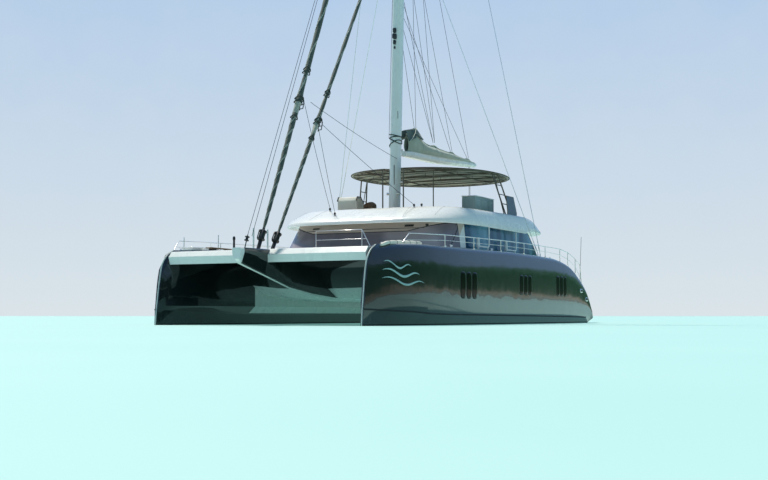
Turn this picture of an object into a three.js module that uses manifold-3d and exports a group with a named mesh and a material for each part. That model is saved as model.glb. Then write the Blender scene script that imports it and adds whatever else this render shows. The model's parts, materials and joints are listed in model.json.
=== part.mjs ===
// Sailing catamaran afloat: two hulls, bridgedeck, salon, flybridge with an oval hardtop, and a
// single mast with furled headsails. Millimetres; +X forward, +Y to port, +Z up, with the origin
// on the waterline, amidships, on the centreline.

import * as THREE from 'three';
import { mergeVertices } from 'three/addons/utils/BufferGeometryUtils.js';
import Module from 'manifold-3d';

const wasm = await Module();
wasm.setup();

// Driving dimensions
const SEAT = 0.3;                 // clearance between pieces that bear on each other
const HULL_Y = 4550;              // hull centreline from the boat's centreline
const SOLE = 1950;                // salon and cockpit floor
const WETDECK = 1000;             // underside of the bridgedeck
const FOREDECK = 3050;            // deck forward of the salon
const DECK = 3120;                // side deck beside the salon, nominal
const CEILING = 4450;             // underside of the coachroof
const FLY_FLOOR = 4700;           // flybridge floor
const WIDEST = -2200;             // where coachroof and salon are widest
const RIM = 7080;                 // height of the hardtop's rim
const MAST = { foot: 5050, top: 35000, x: 410, rakeFrom: 5300, rake: 0.0439, long: 385, wide: 208 };
const GOOSENECK = { x: -330, low: 7840, high: 8040, plate: 60, gap: 0.6 };

// Colours and finishes
const finish = (colour, roughness, metalness, opacity = 1) => new THREE.MeshStandardMaterial({
  color: colour, roughness, metalness, opacity, transparent: opacity < 1,
});
const MATERIALS = {
  hull: finish(0x2c3f46, 0.12, 0.4),
  white: finish(0xe9ebec, 0.3, 0),
  antifoul: finish(0x1b2328, 0.8, 0),
  glass: finish(0x16283c, 0.05, 0, 0.7),
  steel: finish(0xd5dadd, 0.2, 1),
  frame: finish(0x5a5f57, 0.5, 0.3),
  canopy: finish(0x767a70, 0.9, 0),
  sail: finish(0x39433f, 0.9, 0),
  bag: finish(0x8d9a93, 0.9, 0),
  net: finish(0x2a2e31, 0.9, 0),
  cushion: finish(0xdad9d2, 0.85, 0),
  wood: finish(0x8a6a4a, 0.6, 0),
  bronze: finish(0xa9803f, 0.3, 1),
  cabinet: finish(0x6f7f80, 0.5, 0),
  wicker: finish(0x6b5648, 0.8, 0),
};

// Solids from three.js shapes

// The closed solid of a geometry, its faces turned outwards
function solidOf(geometry) {
  const bare = geometry.clone();
  bare.deleteAttribute('normal');
  bare.deleteAttribute('uv');
  const merged = mergeVertices(bare, 0.01);
  const place = merged.getAttribute('position');
  const corners = merged.index.array;
  const triangles = [];
  const [a, b, c] = [new THREE.Vector3(), new THREE.Vector3(), new THREE.Vector3()];
  let volume = 0;
  for (let i = 0; i < corners.length; i += 3) {
    const [p, q, r] = [corners[i], corners[i + 1], corners[i + 2]];
    if (p === q || q === r || r === p) continue;
    triangles.push(p, q, r);
    volume += a.fromBufferAttribute(place, p)
      .dot(b.fromBufferAttribute(place, q).cross(c.fromBufferAttribute(place, r)));
  }
  if (volume < 0) triangles.reverse();
  const mesh = new wasm.Mesh({
    numProp: 3,
    vertProperties: new Float32Array(place.array),
    triVerts: new Uint32Array(triangles),
  });
  return new wasm.Manifold(mesh);
}

// A closed skin over rings of equally many points, with a fan over each end
function skin(rings) {
  const count = rings[0].length;
  const points = rings.flat();
  const faces = [];
  for (let r = 0; r + 1 < rings.length; r += 1) {
    for (let i = 0; i < count; i += 1) {
      const near = r * count + i;
      const next = r * count + (i + 1) % count;
      faces.push(near, next, next + count, near, next + count, near + count);
    }
  }
  const fan = (ring, first) => {
    const middle = [0, 1, 2].map((k) => ring.reduce((sum, point) => sum + point[k], 0) / count);
    points.push(middle);
    for (let i = 0; i < count; i += 1) {
      const pair = [first + i, first + (i + 1) % count];
      if (first > 0) faces.push(pair[0], pair[1], points.length - 1);
      else faces.push(pair[1], pair[0], points.length - 1);
    }
  };
  fan(rings[0], 0);
  fan(rings.at(-1), (rings.length - 1) * count);
  const geometry = new THREE.BufferGeometry();
  geometry.setAttribute('position', new THREE.Float32BufferAttribute(points.flat(), 3));
  geometry.setIndex(faces);
  return solidOf(geometry);
}

function box(x0, x1, y0, y1, z0, z1) {
  const block = new THREE.BoxGeometry(Math.abs(x1 - x0), Math.abs(y1 - y0), Math.abs(z1 - z0));
  return solidOf(block.translate((x0 + x1) / 2, (y0 + y1) / 2, (z0 + z1) / 2));
}

// A round bar between two points, its radius at each end
function bar(from, to, radius, sides = 10, endRadius = radius) {
  const [start, end] = [new THREE.Vector3(...from), new THREE.Vector3(...to)];
  const run = end.clone().sub(start);
  const rod = new THREE.CylinderGeometry(endRadius, radius, run.length(), sides);
  const turn = new THREE.Quaternion().setFromUnitVectors(new THREE.Vector3(0, 1, 0), run.clone().normalize());
  rod.applyQuaternion(turn);
  const middle = start.add(end).multiplyScalar(0.5);
  return solidOf(rod.translate(middle.x, middle.y, middle.z));
}

// A bent tube: one ring of points across each bend, skinned from end to end
function bentTube(points, radius, sides = 8) {
  const path = points.map((point) => new THREE.Vector3(...point));
  const heading = (i) => path[Math.min(i + 1, path.length - 1)].clone()
    .sub(path[Math.min(i, path.length - 2)]).normalize();
  const across = new THREE.Vector3(0, 0, 1);
  if (Math.abs(heading(0).z) > 0.9) across.set(1, 0, 0);
  return skin(path.map((point, i) => {
    const ahead = heading(i).add(heading(Math.max(i - 1, 0))).normalize();
    across.addScaledVector(ahead, -across.dot(ahead)).normalize();
    const side = ahead.clone().cross(across);
    return Array.from({ length: sides }, (_, k) => {
      const angle = 2 * Math.PI * (k + 0.5) / sides;
      return point.clone().addScaledVector(across, radius * Math.cos(angle))
        .addScaledVector(side, radius * Math.sin(angle)).toArray();
    });
  }));
}

// An outline extruded: in plan (x, y), from the side (x, z) or from ahead (y, z)
function extruded(outline, view, low, high) {
  const shape = new THREE.Shape(outline.map(([u, v]) => new THREE.Vector2(u, v)));
  const geometry = new THREE.ExtrudeGeometry(shape, { depth: high - low, bevelEnabled: false });
  const place = geometry.getAttribute('position');
  for (let i = 0; i < place.count; i += 1) {
    const [u, v, w] = [place.getX(i), place.getY(i), place.getZ(i) + low];
    if (view === 'side') place.setXYZ(i, u, w, v);
    else if (view === 'ahead') place.setXYZ(i, w, u, v);
    else place.setXYZ(i, u, v, w);
  }
  return solidOf(geometry);
}

// A piece turned on a lathe about the line from one point to another; profile is [along, radius]
function turned(profile, from, to, sides = 16) {
  const outline = profile.map(([along, radius]) => new THREE.Vector2(radius, along));
  const geometry = new THREE.LatheGeometry(outline, sides);
  const run = new THREE.Vector3(...to).sub(new THREE.Vector3(...from)).normalize();
  geometry.applyQuaternion(new THREE.Quaternion().setFromUnitVectors(new THREE.Vector3(0, 1, 0), run));
  return solidOf(geometry.translate(...from));
}

const joined = (...solids) => solids.reduce((sum, solid) => sum.add(solid));
const mirrored = (solid) => solid.mirror([0, 1, 0]);
const largest = (solid) => solid.decompose().sort((m, n) => n.volume() - m.volume())[0];

// The port half of a solid joined to its own mirror image, so that both sides match exactly
function symmetric(solid) {
  const half = solid.intersect(box(-50000, 50000, -0.05, 10000, -10000, 50000));
  return half.add(mirrored(half));
}

// A value at x from rows of [x, value], straight between rows
function along(rows, x) {
  const sorted = rows[0][0] < rows.at(-1)[0] ? rows : [...rows].reverse();
  if (x <= sorted[0][0]) return sorted[0][1];
  for (let i = 0; i + 1 < sorted.length; i += 1) {
    const [[x0, v0], [x1, v1]] = [sorted[i], sorted[i + 1]];
    if (x <= x1) return v0 + (v1 - v0) * (x - x0) / (x1 - x0);
  }
  return sorted.at(-1)[1];
}

const smooth = (from, to, x) => {
  const t = Math.min(Math.max((x - from) / (to - from), 0), 1);
  return t * t * (3 - 2 * t);
};

// A rounded plan outline: bow end, stern end, half width, squareness and where it is widest
function oval({ front, aft, half, power, widest = WIDEST, count = 48, z = 0 }) {
  return Array.from({ length: count }, (_, i) => {
    const angle = 2 * Math.PI * i / count;
    const [c, s] = [Math.cos(angle), Math.sin(angle)];
    const reach = c > 0 ? front - widest : widest - aft;
    const x = widest + Math.sign(c) * reach * Math.abs(c) ** (2 / power);
    return [x, half * Math.sign(s) * Math.abs(s) ** (2 / power), z];
  });
}

const group = new THREE.Group();
const placed = {};

function addPiece(name, solid, material) {
  const { vertProperties, triVerts } = solid.getMesh();
  const geometry = new THREE.BufferGeometry();
  geometry.setAttribute('position', new THREE.BufferAttribute(new Float32Array(vertProperties), 3));
  geometry.setIndex(new THREE.BufferAttribute(new Uint32Array(triVerts), 1));
  geometry.computeVertexNormals();
  const mesh = new THREE.Mesh(geometry, MATERIALS[material]);
  mesh.name = name;
  group.add(mesh);
  placed[name] = solid;
}

// The same piece on both sides
function addPair(name, portSolid, material) {
  addPiece(`${name}_port`, portSolid, material);
  addPiece(`${name}_starboard`, mirrored(portSolid), material);
}

// A solid trimmed clear of a neighbour that is shifted towards it
const trimmed = (solid, neighbour, shift) => solid.subtract(neighbour.translate(shift));

// Hulls: one row per section. Columns: x at the waterline, deck height, outer and inner half
// breadth, half breadth at the waterline, chine height, draught, and share of the stem's rake.
const SECTIONS = [
  [12000, 2960, 70, 70, 45, 590, 150, 1],
  [11300, 2970, 390, 390, 140, 570, 550, 0.75],
  [10400, 3000, 690, 690, 290, 540, 760, 0.45],
  [9200, 3040, 930, 930, 460, 500, 900, 0.2],
  [8000, 3060, 1060, 1060, 610, 440, 980, 0],
  [6000, 3085, 1160, 1170, 790, 410, 1080, 0],
  [3000, 3120, 1190, 1240, 930, 390, 1120, 0],
  [0, 3170, 1200, 1250, 980, 370, 1120, 0],
  [-3000, 3145, 1200, 1250, 980, 350, 1040, 0],
  [-5100, 3120, 1200, 1250, 965, 335, 920, 0],
  [-6300, 3030, 1200, 1250, 950, 325, 810, 0],
  [-7600, 2820, 1195, 1250, 930, 315, 680, 0],
  [-9000, 2320, 1180, 1250, 900, 300, 520, 0],
  [-10000, 1830, 1165, 1250, 880, 290, 400, 0],
  [-10700, 1270, 1150, 1240, 860, 280, 310, 0],
  [-11100, 780, 1140, 1230, 850, 260, 260, 0],
  [-11230, 420, 1130, 1220, 840, 200, 240, 0],
];
const deckAt = (x) => along(SECTIONS.map((row) => [row[0], row[1]]), x);

// How far the stem lies aft of its foot at each height
const STEM = [[-1200, 900], [-900, 420], [-500, 120], [0, 0], [1270, 140], [2280, 330], [2720, 640], [2960, 1100]];

function hullRing([x, deck, outer, inner, water, chine, draught, rake]) {
  const knee = Math.min(chine, deck * 0.45);
  const side = deck - knee;
  const edge = Math.min(220, side * 0.35);
  const step = Math.min(750, knee + side * 0.3);
  const half = [
    [0.55 * water, -0.88 * draught], [0.9 * water, -0.45 * draught], [water, 0],
  ];
  const port = [
    ...half,
    [water + 0.82 * (outer - water), knee], [outer, knee + 0.12 * side],
    [outer + 20, knee + 0.5 * side], [outer, deck - edge],
    [outer - 0.1 * outer, deck - 0.25 * edge], [outer - 0.25 * outer, deck],
  ];
  const starboard = [
    ...half,
    [water + 0.1 * (inner - water), knee], [inner, step],
    [inner, knee + 0.55 * side], [inner, deck - edge],
    [inner - 0.02 * inner, deck - 0.2 * edge], [inner - 0.06 * inner, deck],
  ];
  const loop = [
    [0, -draught], ...port, ...starboard.reverse().map(([y, z]) => [-y, z]),
  ];
  return loop.map(([y, z]) => [x - rake * along(STEM, z), HULL_Y + y, z]);
}

// Stern stairs cut into the hull: front edge of each tread, its height
const TREADS = [[-6700, 1950], [-8500, 1660], [-8950, 1370], [-9400, 1080], [-9850, 790], [-10300, 500]];
const STAIR = { outer: HULL_Y + 880, inner: HULL_Y - 1400, end: -11400 };

const RUDDER = { x: -10150, top: -560, foot: -1780 };
const HATCH = { x0: 8250, x1: 8900, half: 330, sill: 3105, lid: 45 };
const CHAINPLATE = { capX: -3650, lowerX: -3350, y: 5570, rise: 110 };

function makeHull() {
  let hull = skin(SECTIONS.map(hullRing));
  for (const [front, height] of TREADS) {
    hull = hull.subtract(box(STAIR.end, front, STAIR.inner, STAIR.outer, height, 3400));
  }
  const sill = box(HATCH.x0, HATCH.x1, HULL_Y - HATCH.half, HULL_Y + HATCH.half, 2900, HATCH.sill);
  const bearing = bar([RUDDER.x, HULL_Y, RUDDER.top], [RUDDER.x, HULL_Y, 0], 150, 16);
  let built = joined(hull, sill, bearing);
  for (const x of [CHAINPLATE.capX, CHAINPLATE.lowerX]) {
    built = built.add(box(x - 70, x + 70, CHAINPLATE.y - 25, CHAINPLATE.y + 25, 3000, DECK + CHAINPLATE.rise));
  }
  return built;
}
const hullPort = makeHull();
addPair('hull', hullPort, 'hull');
const hullStarboard = placed.hull_starboard;

// A stub keel under each hull: a tapered fin, trimmed to the hull's bottom
const KEEL = { front: 2300, aft: -2900, top: -950, foot: -2000 };
function keelRing(z, front, aft, half) {
  const points = oval({ front, aft, half, power: 2, widest: front - 0.35 * (front - aft), count: 20, z });
  return points.map(([x, y, height]) => [x, y + HULL_Y, height]);
}
const keelBlank = skin([
  keelRing(KEEL.foot, KEEL.front - 700, KEEL.aft + 500, 130),
  keelRing(KEEL.foot + 150, KEEL.front - 500, KEEL.aft + 350, 210),
  keelRing(KEEL.top, KEEL.front, KEEL.aft, 240),
]);
addPair('keel', trimmed(keelBlank, hullPort, [0, 0, -SEAT]), 'antifoul');

// Bridgedeck: one row per section. Columns: x, underside, top.
const BRIDGE_SECTIONS = [
  [7600, 2350, FOREDECK], [7350, 1950, FOREDECK], [6900, 1500, FOREDECK], [6300, 1170, FOREDECK],
  [5400, WETDECK, FOREDECK], [-9300, WETDECK, FOREDECK], [-10000, 1150, FOREDECK], [-10350, 1450, FOREDECK],
];
const BRIDGE_HALF = 3600;
const SALON_WELL = { front: 4050, aft: -9750, half: 3180 };
const FORE_WELL = { front: 6700, aft: 4750, half: 2300, floor: 2350 };
const STAIR_SIDE = { gateFront: -6900, gateAft: -8300, low: 2350 };
const DOOR_TRACK = { x0: -5140, x1: -5080, height: 25 };
const LIFT = { front: -10420, aft: -12150, half: 3150, top: 760, thick: 110 };
const GUIDE = { y: 1500, wide: 90, low: -400, aft: -10370, front: -10200 };

function makeBridgedeck() {
  const rings = BRIDGE_SECTIONS.map(([x, low, high]) => [
    [x, 0, low - 40], [x, BRIDGE_HALF * 0.6, low], [x, BRIDGE_HALF, low + 150], [x, BRIDGE_HALF, high],
    [x, -BRIDGE_HALF, high], [x, -BRIDGE_HALF, low + 150], [x, -BRIDGE_HALF * 0.6, low],
  ]);
  let deck = skin(rings);
  const { front, aft, half } = SALON_WELL;
  deck = deck.subtract(box(aft, front, -half, half, SOLE, 3300));
  deck = deck.subtract(box(FORE_WELL.aft, FORE_WELL.front, -FORE_WELL.half, FORE_WELL.half, FORE_WELL.floor, 3300));
  for (const side of [1, -1]) {
    const gate = box(STAIR_SIDE.gateAft, STAIR_SIDE.gateFront, side * (half - 50), side * BRIDGE_HALF, SOLE, 3300);
    const low = box(-10500, STAIR_SIDE.gateAft + 1, side * (half - 50), side * BRIDGE_HALF, STAIR_SIDE.low, 3300);
    deck = deck.subtract(gate).subtract(low);
  }
  deck = deck.subtract(box(-10500, SALON_WELL.aft + 1, -half + 40, half - 40, 2450, 3300));
  deck = deck.add(box(DOOR_TRACK.x0, DOOR_TRACK.x1, -1250, 1250, SOLE - 10, SOLE + DOOR_TRACK.height));
  for (const side of [1, -1]) {
    deck = deck.add(box(GUIDE.aft, GUIDE.front, side * GUIDE.y - GUIDE.wide, side * GUIDE.y + GUIDE.wide, GUIDE.low, 1800));
  }
  deck = trimmed(deck, hullPort, [0, -SEAT, 0]);
  deck = trimmed(deck, hullStarboard, [0, SEAT, 0]);
  return symmetric(largest(deck));
}
const wholeDeck = makeBridgedeck();
const DECK_SPLIT = 4400;          // joint between the foredeck moulding and the bridgedeck
const bridgedeck = largest(wholeDeck.intersect(box(-20000, DECK_SPLIT - SEAT, -6000, 6000, -2000, 6000)));
const foredeck = largest(wholeDeck.intersect(box(DECK_SPLIT, 20000, -6000, 6000, -2000, 6000)));

// Centre spine: a deep narrow beam from the bridgedeck's front to the nose.
// Columns: x, underside, top, half breadth at the underside and at the top.
const SPINE_SECTIONS = [
  [13150, 2430, 2840, 150, 190], [12970, 2270, 2850, 120, 230], [11400, 1900, 2860, 110, 235],
  [9600, 1460, 2880, 120, 245], [8000, 1180, 2900, 170, 260], [6500, 1050, 2900, 260, 300],
  [5000, 990, 2900, 300, 340],
];
function makeSpine() {
  const rings = SPINE_SECTIONS.map(([x, low, high, foot, head]) => [
    [x, foot * 0.6, low], [x, foot, low + 60], [x, head, high - 180], [x, head, high - 40], [x, head - 40, high],
    [x, -head + 40, high], [x, -head, high - 40], [x, -head, high - 180], [x, -foot, low + 60],
    [x, -foot * 0.6, low],
  ]);
  return largest(trimmed(skin(rings), wholeDeck, [SEAT, 0, -SEAT]));
}
const spine = makeSpine();

// Front crossbeam between the bows, trimmed to the bows and the spine at its middle
const BEAM = { front: 11420, aft: 10900, bottom: 2370, knuckle: 2660, top: 2880, reach: 4400 };
const beamSide = [
  [BEAM.front - 90, BEAM.bottom], [BEAM.front, BEAM.knuckle], [BEAM.front - 190, BEAM.top],
  [BEAM.aft + 60, BEAM.top], [BEAM.aft, BEAM.top - 100], [BEAM.aft + 60, BEAM.bottom + 40],
];
const beamBlank = extruded(beamSide, 'side', -BEAM.reach, BEAM.reach);
let frontBeam = trimmed(beamBlank, hullPort, [0, -SEAT, 0]);
frontBeam = trimmed(frontBeam, hullStarboard, [0, SEAT, 0]);
frontBeam = largest(frontBeam);
const beamHole = extruded(beamSide, 'side', -600, 600);
const spineNotched = spine.subtract(
  beamHole.translate([SEAT, 0, 0]).add(beamHole.translate([-SEAT, 0, 0]))
    .add(beamHole.translate([0, 0, SEAT])).add(beamHole.translate([0, 0, -SEAT])),
);
addPiece('bridgedeck', bridgedeck, 'white');
addPiece('foredeck', foredeck, 'white');
addPiece('centre_spine', largest(spineNotched), 'white');
addPiece('front_beam', frontBeam, 'white');

// Trampolines, laced all round: each is cut to the beam, spine, bow and bridgedeck about it
const NET = { front: 11300, aft: 7300, inner: 50, outer: 4500, z: 2790, thick: 14 };
let net = box(NET.aft, NET.front, NET.inner, NET.outer, NET.z, NET.z + NET.thick);
net = trimmed(net, hullPort, [0, -SEAT, 0]);
net = trimmed(net, spineNotched, [0, SEAT, 0]);
for (const shift of [[SEAT, 0, 0], [0, 0, 0]]) net = trimmed(net, wholeDeck, shift);
net = largest(trimmed(net, frontBeam, [-SEAT, 0, 0]));
addPair('trampoline', net, 'net');

// Coachroof shell with the flybridge inside it, as rings from the ceiling round the brow to the
// floor. Columns: bow end, stern end, half width, height, share of the aft lift, of the aft drop.
const ROOF_RINGS = [
  [3650, -8900, 3950, CEILING, 0, 0], [4250, -9200, 4330, CEILING - 90, 0.5, 0],
  [4430, -9370, 4470, CEILING - 165, 1, 0], [4460, -9400, 4500, CEILING - 130, 1, 0],
  [4430, -9390, 4500, CEILING - 30, 0.9, 0.1], [4130, -9350, 4460, CEILING + 170, 0.3, 0.5],
  [3600, -9280, 4370, CEILING + 400, 0, 0.85], [3150, -9180, 4250, CEILING + 570, 0, 1],
  [2900, -9080, 4150, CEILING + 620, 0, 1], [2650, -8950, 4040, CEILING + 590, 0, 1],
  [2520, -8880, 3950, FLY_FLOOR, 0, 0],
];
const ROOF_POWER = 4.4;
const AFT_LIFT = 150;
const AFT_DROP = 320;
const CREST_RISE = 60;            // the coaming's crest climbs by this much before it drops

const aftDrop = (x) => AFT_DROP * (1 - smooth(-8600, -5600, x)) - CREST_RISE * (1 - smooth(-4000, 0, x));

function roofRing([front, aft, half, height, lift, drop]) {
  return oval({ front, aft, half, power: ROOF_POWER, count: 60 }).map(([x, y]) => [
    x, y, height + lift * AFT_LIFT * (1 - smooth(-5600, -4600, x)) - drop * aftDrop(x),
  ]);
}
const mastStep = skin([FLY_FLOOR - 100, MAST.foot - 60, MAST.foot].map((z, i) => (
  oval({ front: MAST.x + 620 - 40 * i, aft: MAST.x - 620 + 40 * i, half: 420 - 40 * i, power: 2.4, widest: MAST.x, count: 24, z })
)));
const coachroof = symmetric(skin(ROOF_RINGS.map(roofRing)).add(mastStep));
addPiece('coachroof', coachroof, 'white');

// Salon walls: a raked band between deck and ceiling. The glass is bonded flush into a rebate on
// its outside; behind it the wall is cut away between narrow mullions. Columns: height, bow end,
// half width.
const WALL_LEVELS = [[2950, 4795, 4175], [4600, 3230, 4130]];
const WALL = { thick: 72, glass: 12, power: 5.5, aft: -9500, aftTop: -5750, aftFoot: -7700 };
const PILLAR = { front: 2200, aft: 1720 };
const WINDOW = { sill: 3200, head: 3970, cornerHead: 4420, rebate: 70, mullion: 45 };
const salonBlock = (inset) => skin(WALL_LEVELS.map(([z, front, half]) => oval({
  front: front - inset, half: half - inset, aft: WALL.aft, power: WALL.power, count: 72, z,
})));
const trimToHulls = (solid) => {
  let cut = solid;
  for (const shift of [[0, 0, SEAT], [0, -SEAT, 0]]) cut = trimmed(cut, hullPort, shift);
  for (const shift of [[0, 0, SEAT], [0, SEAT, 0]]) cut = trimmed(cut, hullStarboard, shift);
  return cut;
};
const trimToDeck = (solid) => {
  let cut = trimToHulls(solid);
  for (const shift of [[0, 0, SEAT], [0, SEAT, 0], [0, -SEAT, 0]]) cut = trimmed(cut, wholeDeck, shift);
  cut = trimmed(cut, coachroof, [0, 0, -SEAT]);
  return cut.subtract(box(-9000, 6000, -SALON_WELL.half - 40, SALON_WELL.half + 40, 0, FOREDECK + SEAT));
};
const wallBand = trimToDeck(salonBlock(0).subtract(salonBlock(WALL.thick)));
const rebate = salonBlock(-40).subtract(salonBlock(WALL.glass + SEAT));
const glassBand = trimToDeck(salonBlock(0).subtract(salonBlock(WALL.glass)));

// The windscreen's outline from ahead and the side glass's from the side, drawn in by a margin
const screenZone = (margin) => extruded([
  [-4600, WINDOW.sill + margin], [4600, WINDOW.sill + margin], [4600, WINDOW.cornerHead - margin],
  [4000, WINDOW.cornerHead - margin], [2300, WINDOW.head - margin], [-2300, WINDOW.head - margin],
  [-4000, WINDOW.cornerHead - margin], [-4600, WINDOW.cornerHead - margin],
], 'ahead', PILLAR.front + margin, 6000);
const sideOutline = (margin, low) => [
  [PILLAR.aft - margin, low + margin], [PILLAR.aft - margin, 4500 - margin], [WALL.aftTop + margin, 4500 - margin],
  [WALL.aftFoot + 1.6 * margin, low + margin],
];
const sideZone = (margin) => extruded(sideOutline(margin, WINDOW.sill), 'side', 300, 5200);

const MULLIONS = [-3000, -1800, -600, 600, 1800, 3000];
const SIDE_MULLIONS = [-1400, -5030];
let screenGap = screenZone(WINDOW.rebate);
for (const y of MULLIONS) {
  screenGap = screenGap.subtract(box(2000, 6100, y - WINDOW.mullion, y + WINDOW.mullion, 3000, 5000));
}
let sideGap = sideZone(WINDOW.rebate).subtract(box(-9000, 6000, 0, 6000, 4240, 5000));
for (const x of SIDE_MULLIONS) {
  sideGap = sideGap.subtract(box(x - WINDOW.mullion, x + WINDOW.mullion, 0, 6000, 3000, 5000));
}
const frontWall = wallBand.intersect(box(PILLAR.aft, 6000, -5000, 5000, 0, 6000))
  .subtract(rebate.intersect(screenZone(-SEAT))).subtract(screenGap);
addPiece('salon_front_wall', largest(frontWall), 'white');
const sideWall = wallBand.intersect(extruded(sideOutline(0, 3100), 'side', 300, 5200)).translate([-SEAT, 0, 0])
  .subtract(rebate.intersect(sideZone(-SEAT))).subtract(sideGap);
addPair('salon_side_wall', largest(sideWall), 'white');
addPiece('salon_front_glass', largest(glassBand.intersect(screenZone(0))), 'glass');
addPair('salon_side_glass', largest(glassBand.intersect(sideZone(1))), 'glass');

// Aft wall with one wide opening: a fixed pane to starboard, the sliding door to port
const AFT_WALL = { x0: -5060, x1: -5000, half: 4300 };
const DOORWAY = { y0: -2900, y1: 1100, sill: 1990, head: 4150 };
const aftWallRoom = salonBlock(WALL.thick + SEAT).add(box(-6000, -4000, -3200, 3200, SOLE, 3500));
let aftWall = box(AFT_WALL.x0, AFT_WALL.x1, -AFT_WALL.half, AFT_WALL.half, SOLE + SEAT, CEILING - SEAT);
aftWall = trimmed(trimToHulls(aftWall.intersect(aftWallRoom)), coachroof, [0, 0, -SEAT]);
for (const shift of [[0, -SEAT, 0], [0, SEAT, 0], [0, 0, SEAT]]) aftWall = trimmed(aftWall, wholeDeck, shift);
aftWall = aftWall.subtract(box(AFT_WALL.x0 - 10, AFT_WALL.x1 + 10, DOORWAY.y0, DOORWAY.y1, DOORWAY.sill, DOORWAY.head));
addPiece('salon_aft_wall', largest(aftWall), 'white');
addPiece('salon_aft_glass', box(-5036, -5024, DOORWAY.y0 + SEAT, 0, DOORWAY.sill + SEAT, DOORWAY.head - SEAT), 'glass');

const DOOR = { x0: -5130, x1: -5090, y0: 20, y1: 1180, foot: SOLE + DOOR_TRACK.height + 0.6, head: 4180, stile: 70 };
const doorPanel = box(DOOR.x0, DOOR.x1, DOOR.y0, DOOR.y1, DOOR.foot, DOOR.head);
const doorRecess = (x0, x1) => box(x0, x1, DOOR.y0 + DOOR.stile, DOOR.y1 - DOOR.stile, DOOR.foot + DOOR.stile, DOOR.head - DOOR.stile);
const doorHandle = box(DOOR.x0 - 35, DOOR.x0 + 5, DOOR.y0 + 20, DOOR.y0 + 50, 2850, 3250);
addPiece('salon_door', doorPanel.subtract(doorRecess(DOOR.x0 - 5, DOOR.x0 + 14))
  .subtract(doorRecess(DOOR.x1 - 14, DOOR.x1 + 5)).add(doorHandle), 'glass');

// Salon furniture: sofa round a table to port, galley block to starboard
const FURNITURE = { foot: SOLE + SEAT, seat: 2380, salonBack: 2950, cockpitBack: 2820, table: 2690, board: 50, counter: 2880 };
const seatBlock = (x0, x1, y0, y1, top) => box(x0, x1, y0, y1, FURNITURE.foot, top);
const table = (x0, x1, y0, y1, stem) => joined(
  box(x0, x1, y0, y1, FURNITURE.table - FURNITURE.board, FURNITURE.table),
  box(...stem, FURNITURE.foot, FURNITURE.table - FURNITURE.board + 10),
);
addPiece('salon_sofa', joined(
  seatBlock(-600, 3300, 2250, 3150, FURNITURE.seat), seatBlock(-600, 3300, 2900, 3150, FURNITURE.salonBack),
  seatBlock(2600, 3300, 300, 2400, FURNITURE.seat), seatBlock(3050, 3300, 300, 3150, FURNITURE.salonBack),
), 'cushion');
addPiece('salon_table', table(200, 2300, 900, 1900, [1000, 1500, 1250, 1550]), 'wood');
addPiece('salon_galley', joined(
  seatBlock(-4300, 1800, -3150, -2450, FURNITURE.counter), seatBlock(-3600, 600, -1500, -850, FURNITURE.counter),
  seatBlock(-4300, -3560, -3150, -850, FURNITURE.counter),
), 'wood');

// Aft cockpit: sofa along the transom and port side, and a table
addPiece('cockpit_sofa', joined(
  seatBlock(-9740, -9000, -1800, 1800, FURNITURE.seat), seatBlock(-9740, -9520, -1800, 1800, FURNITURE.cockpitBack),
), 'cushion');
addPiece('cockpit_table', table(-8700, -7700, -1100, 1100, [-8350, -8050, -500, 500]), 'wood');

// Roof posts: a tube from the brow down to the side deck, running forward there and turned up
// at its end. Columns: x of the upright.
const ROOF_POSTS = [['forward', -200], ['aft', -3520]];
const POST = { y: 4420, radius: 36, foot: 3400, run: 1260, rise: 380, sleeve: 85 };
const roofUnderside = coachroof.translate([0, 0, -SEAT]);
for (const [place, x] of ROOF_POSTS) {
  const upright = bentTube([
    [x, POST.y, CEILING + 40], [x, POST.y, POST.foot + 130], [x + 40, POST.y, POST.foot + 40],
    [x + 130, POST.y, POST.foot], [x + POST.run, POST.y, POST.foot],
  ], POST.radius, 10);
  const sleeve = bar([x + POST.run, POST.y, POST.foot - 60], [x + POST.run, POST.y, POST.foot + POST.rise], POST.sleeve, 12, 60);
  const feet = joined(
    bar([x + POST.run, POST.y, 3050], [x + POST.run, POST.y, POST.foot - 50], POST.radius),
    bar([x + 150, POST.y, 3050], [x + 150, POST.y, POST.foot], POST.radius),
  );
  const post = trimmed(joined(upright, sleeve, feet).subtract(roofUnderside), hullPort, [0, 0, SEAT]);
  addPair(`roof_post_${place}`, largest(post), 'steel');
}

// Flybridge: console with the steering wheel, chair, bar cabinet, sofa
const fly = FLY_FLOOR + SEAT;
const consoleSide = [[-420, fly], [330, fly], [360, 5750], [250, 5950], [-100, 5950], [-420, 5650]];
const WHEEL = { x: -520, y: -2550, z: 5480, radius: 400, rim: 20 };
const helmConsole = extruded(consoleSide, 'side', -3080, -2020)
  .add(bar([-430 + 20, WHEEL.y, WHEEL.z], [-470, WHEEL.y, WHEEL.z], 70, 16));
addPiece('helm_console', helmConsole, 'cushion');

function makeWheel() {
  const rim = new THREE.TorusGeometry(WHEEL.radius, WHEEL.rim, 6, 24).rotateY(Math.PI / 2);
  let wheel = solidOf(rim.translate(WHEEL.x, WHEEL.y, WHEEL.z));
  wheel = wheel.add(bar([-470.6, WHEEL.y, WHEEL.z], [WHEEL.x - 30, WHEEL.y, WHEEL.z], 60, 16));
  for (let i = 0; i < 5; i += 1) {
    const angle = 2 * Math.PI * i / 5;
    const tip = [WHEEL.x, WHEEL.y + WHEEL.radius * Math.sin(angle), WHEEL.z + WHEEL.radius * Math.cos(angle)];
    wheel = wheel.add(bar([WHEEL.x, WHEEL.y, WHEEL.z], tip, 13, 8));
  }
  return wheel;
}
addPiece('steering_wheel', makeWheel(), 'steel');

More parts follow.
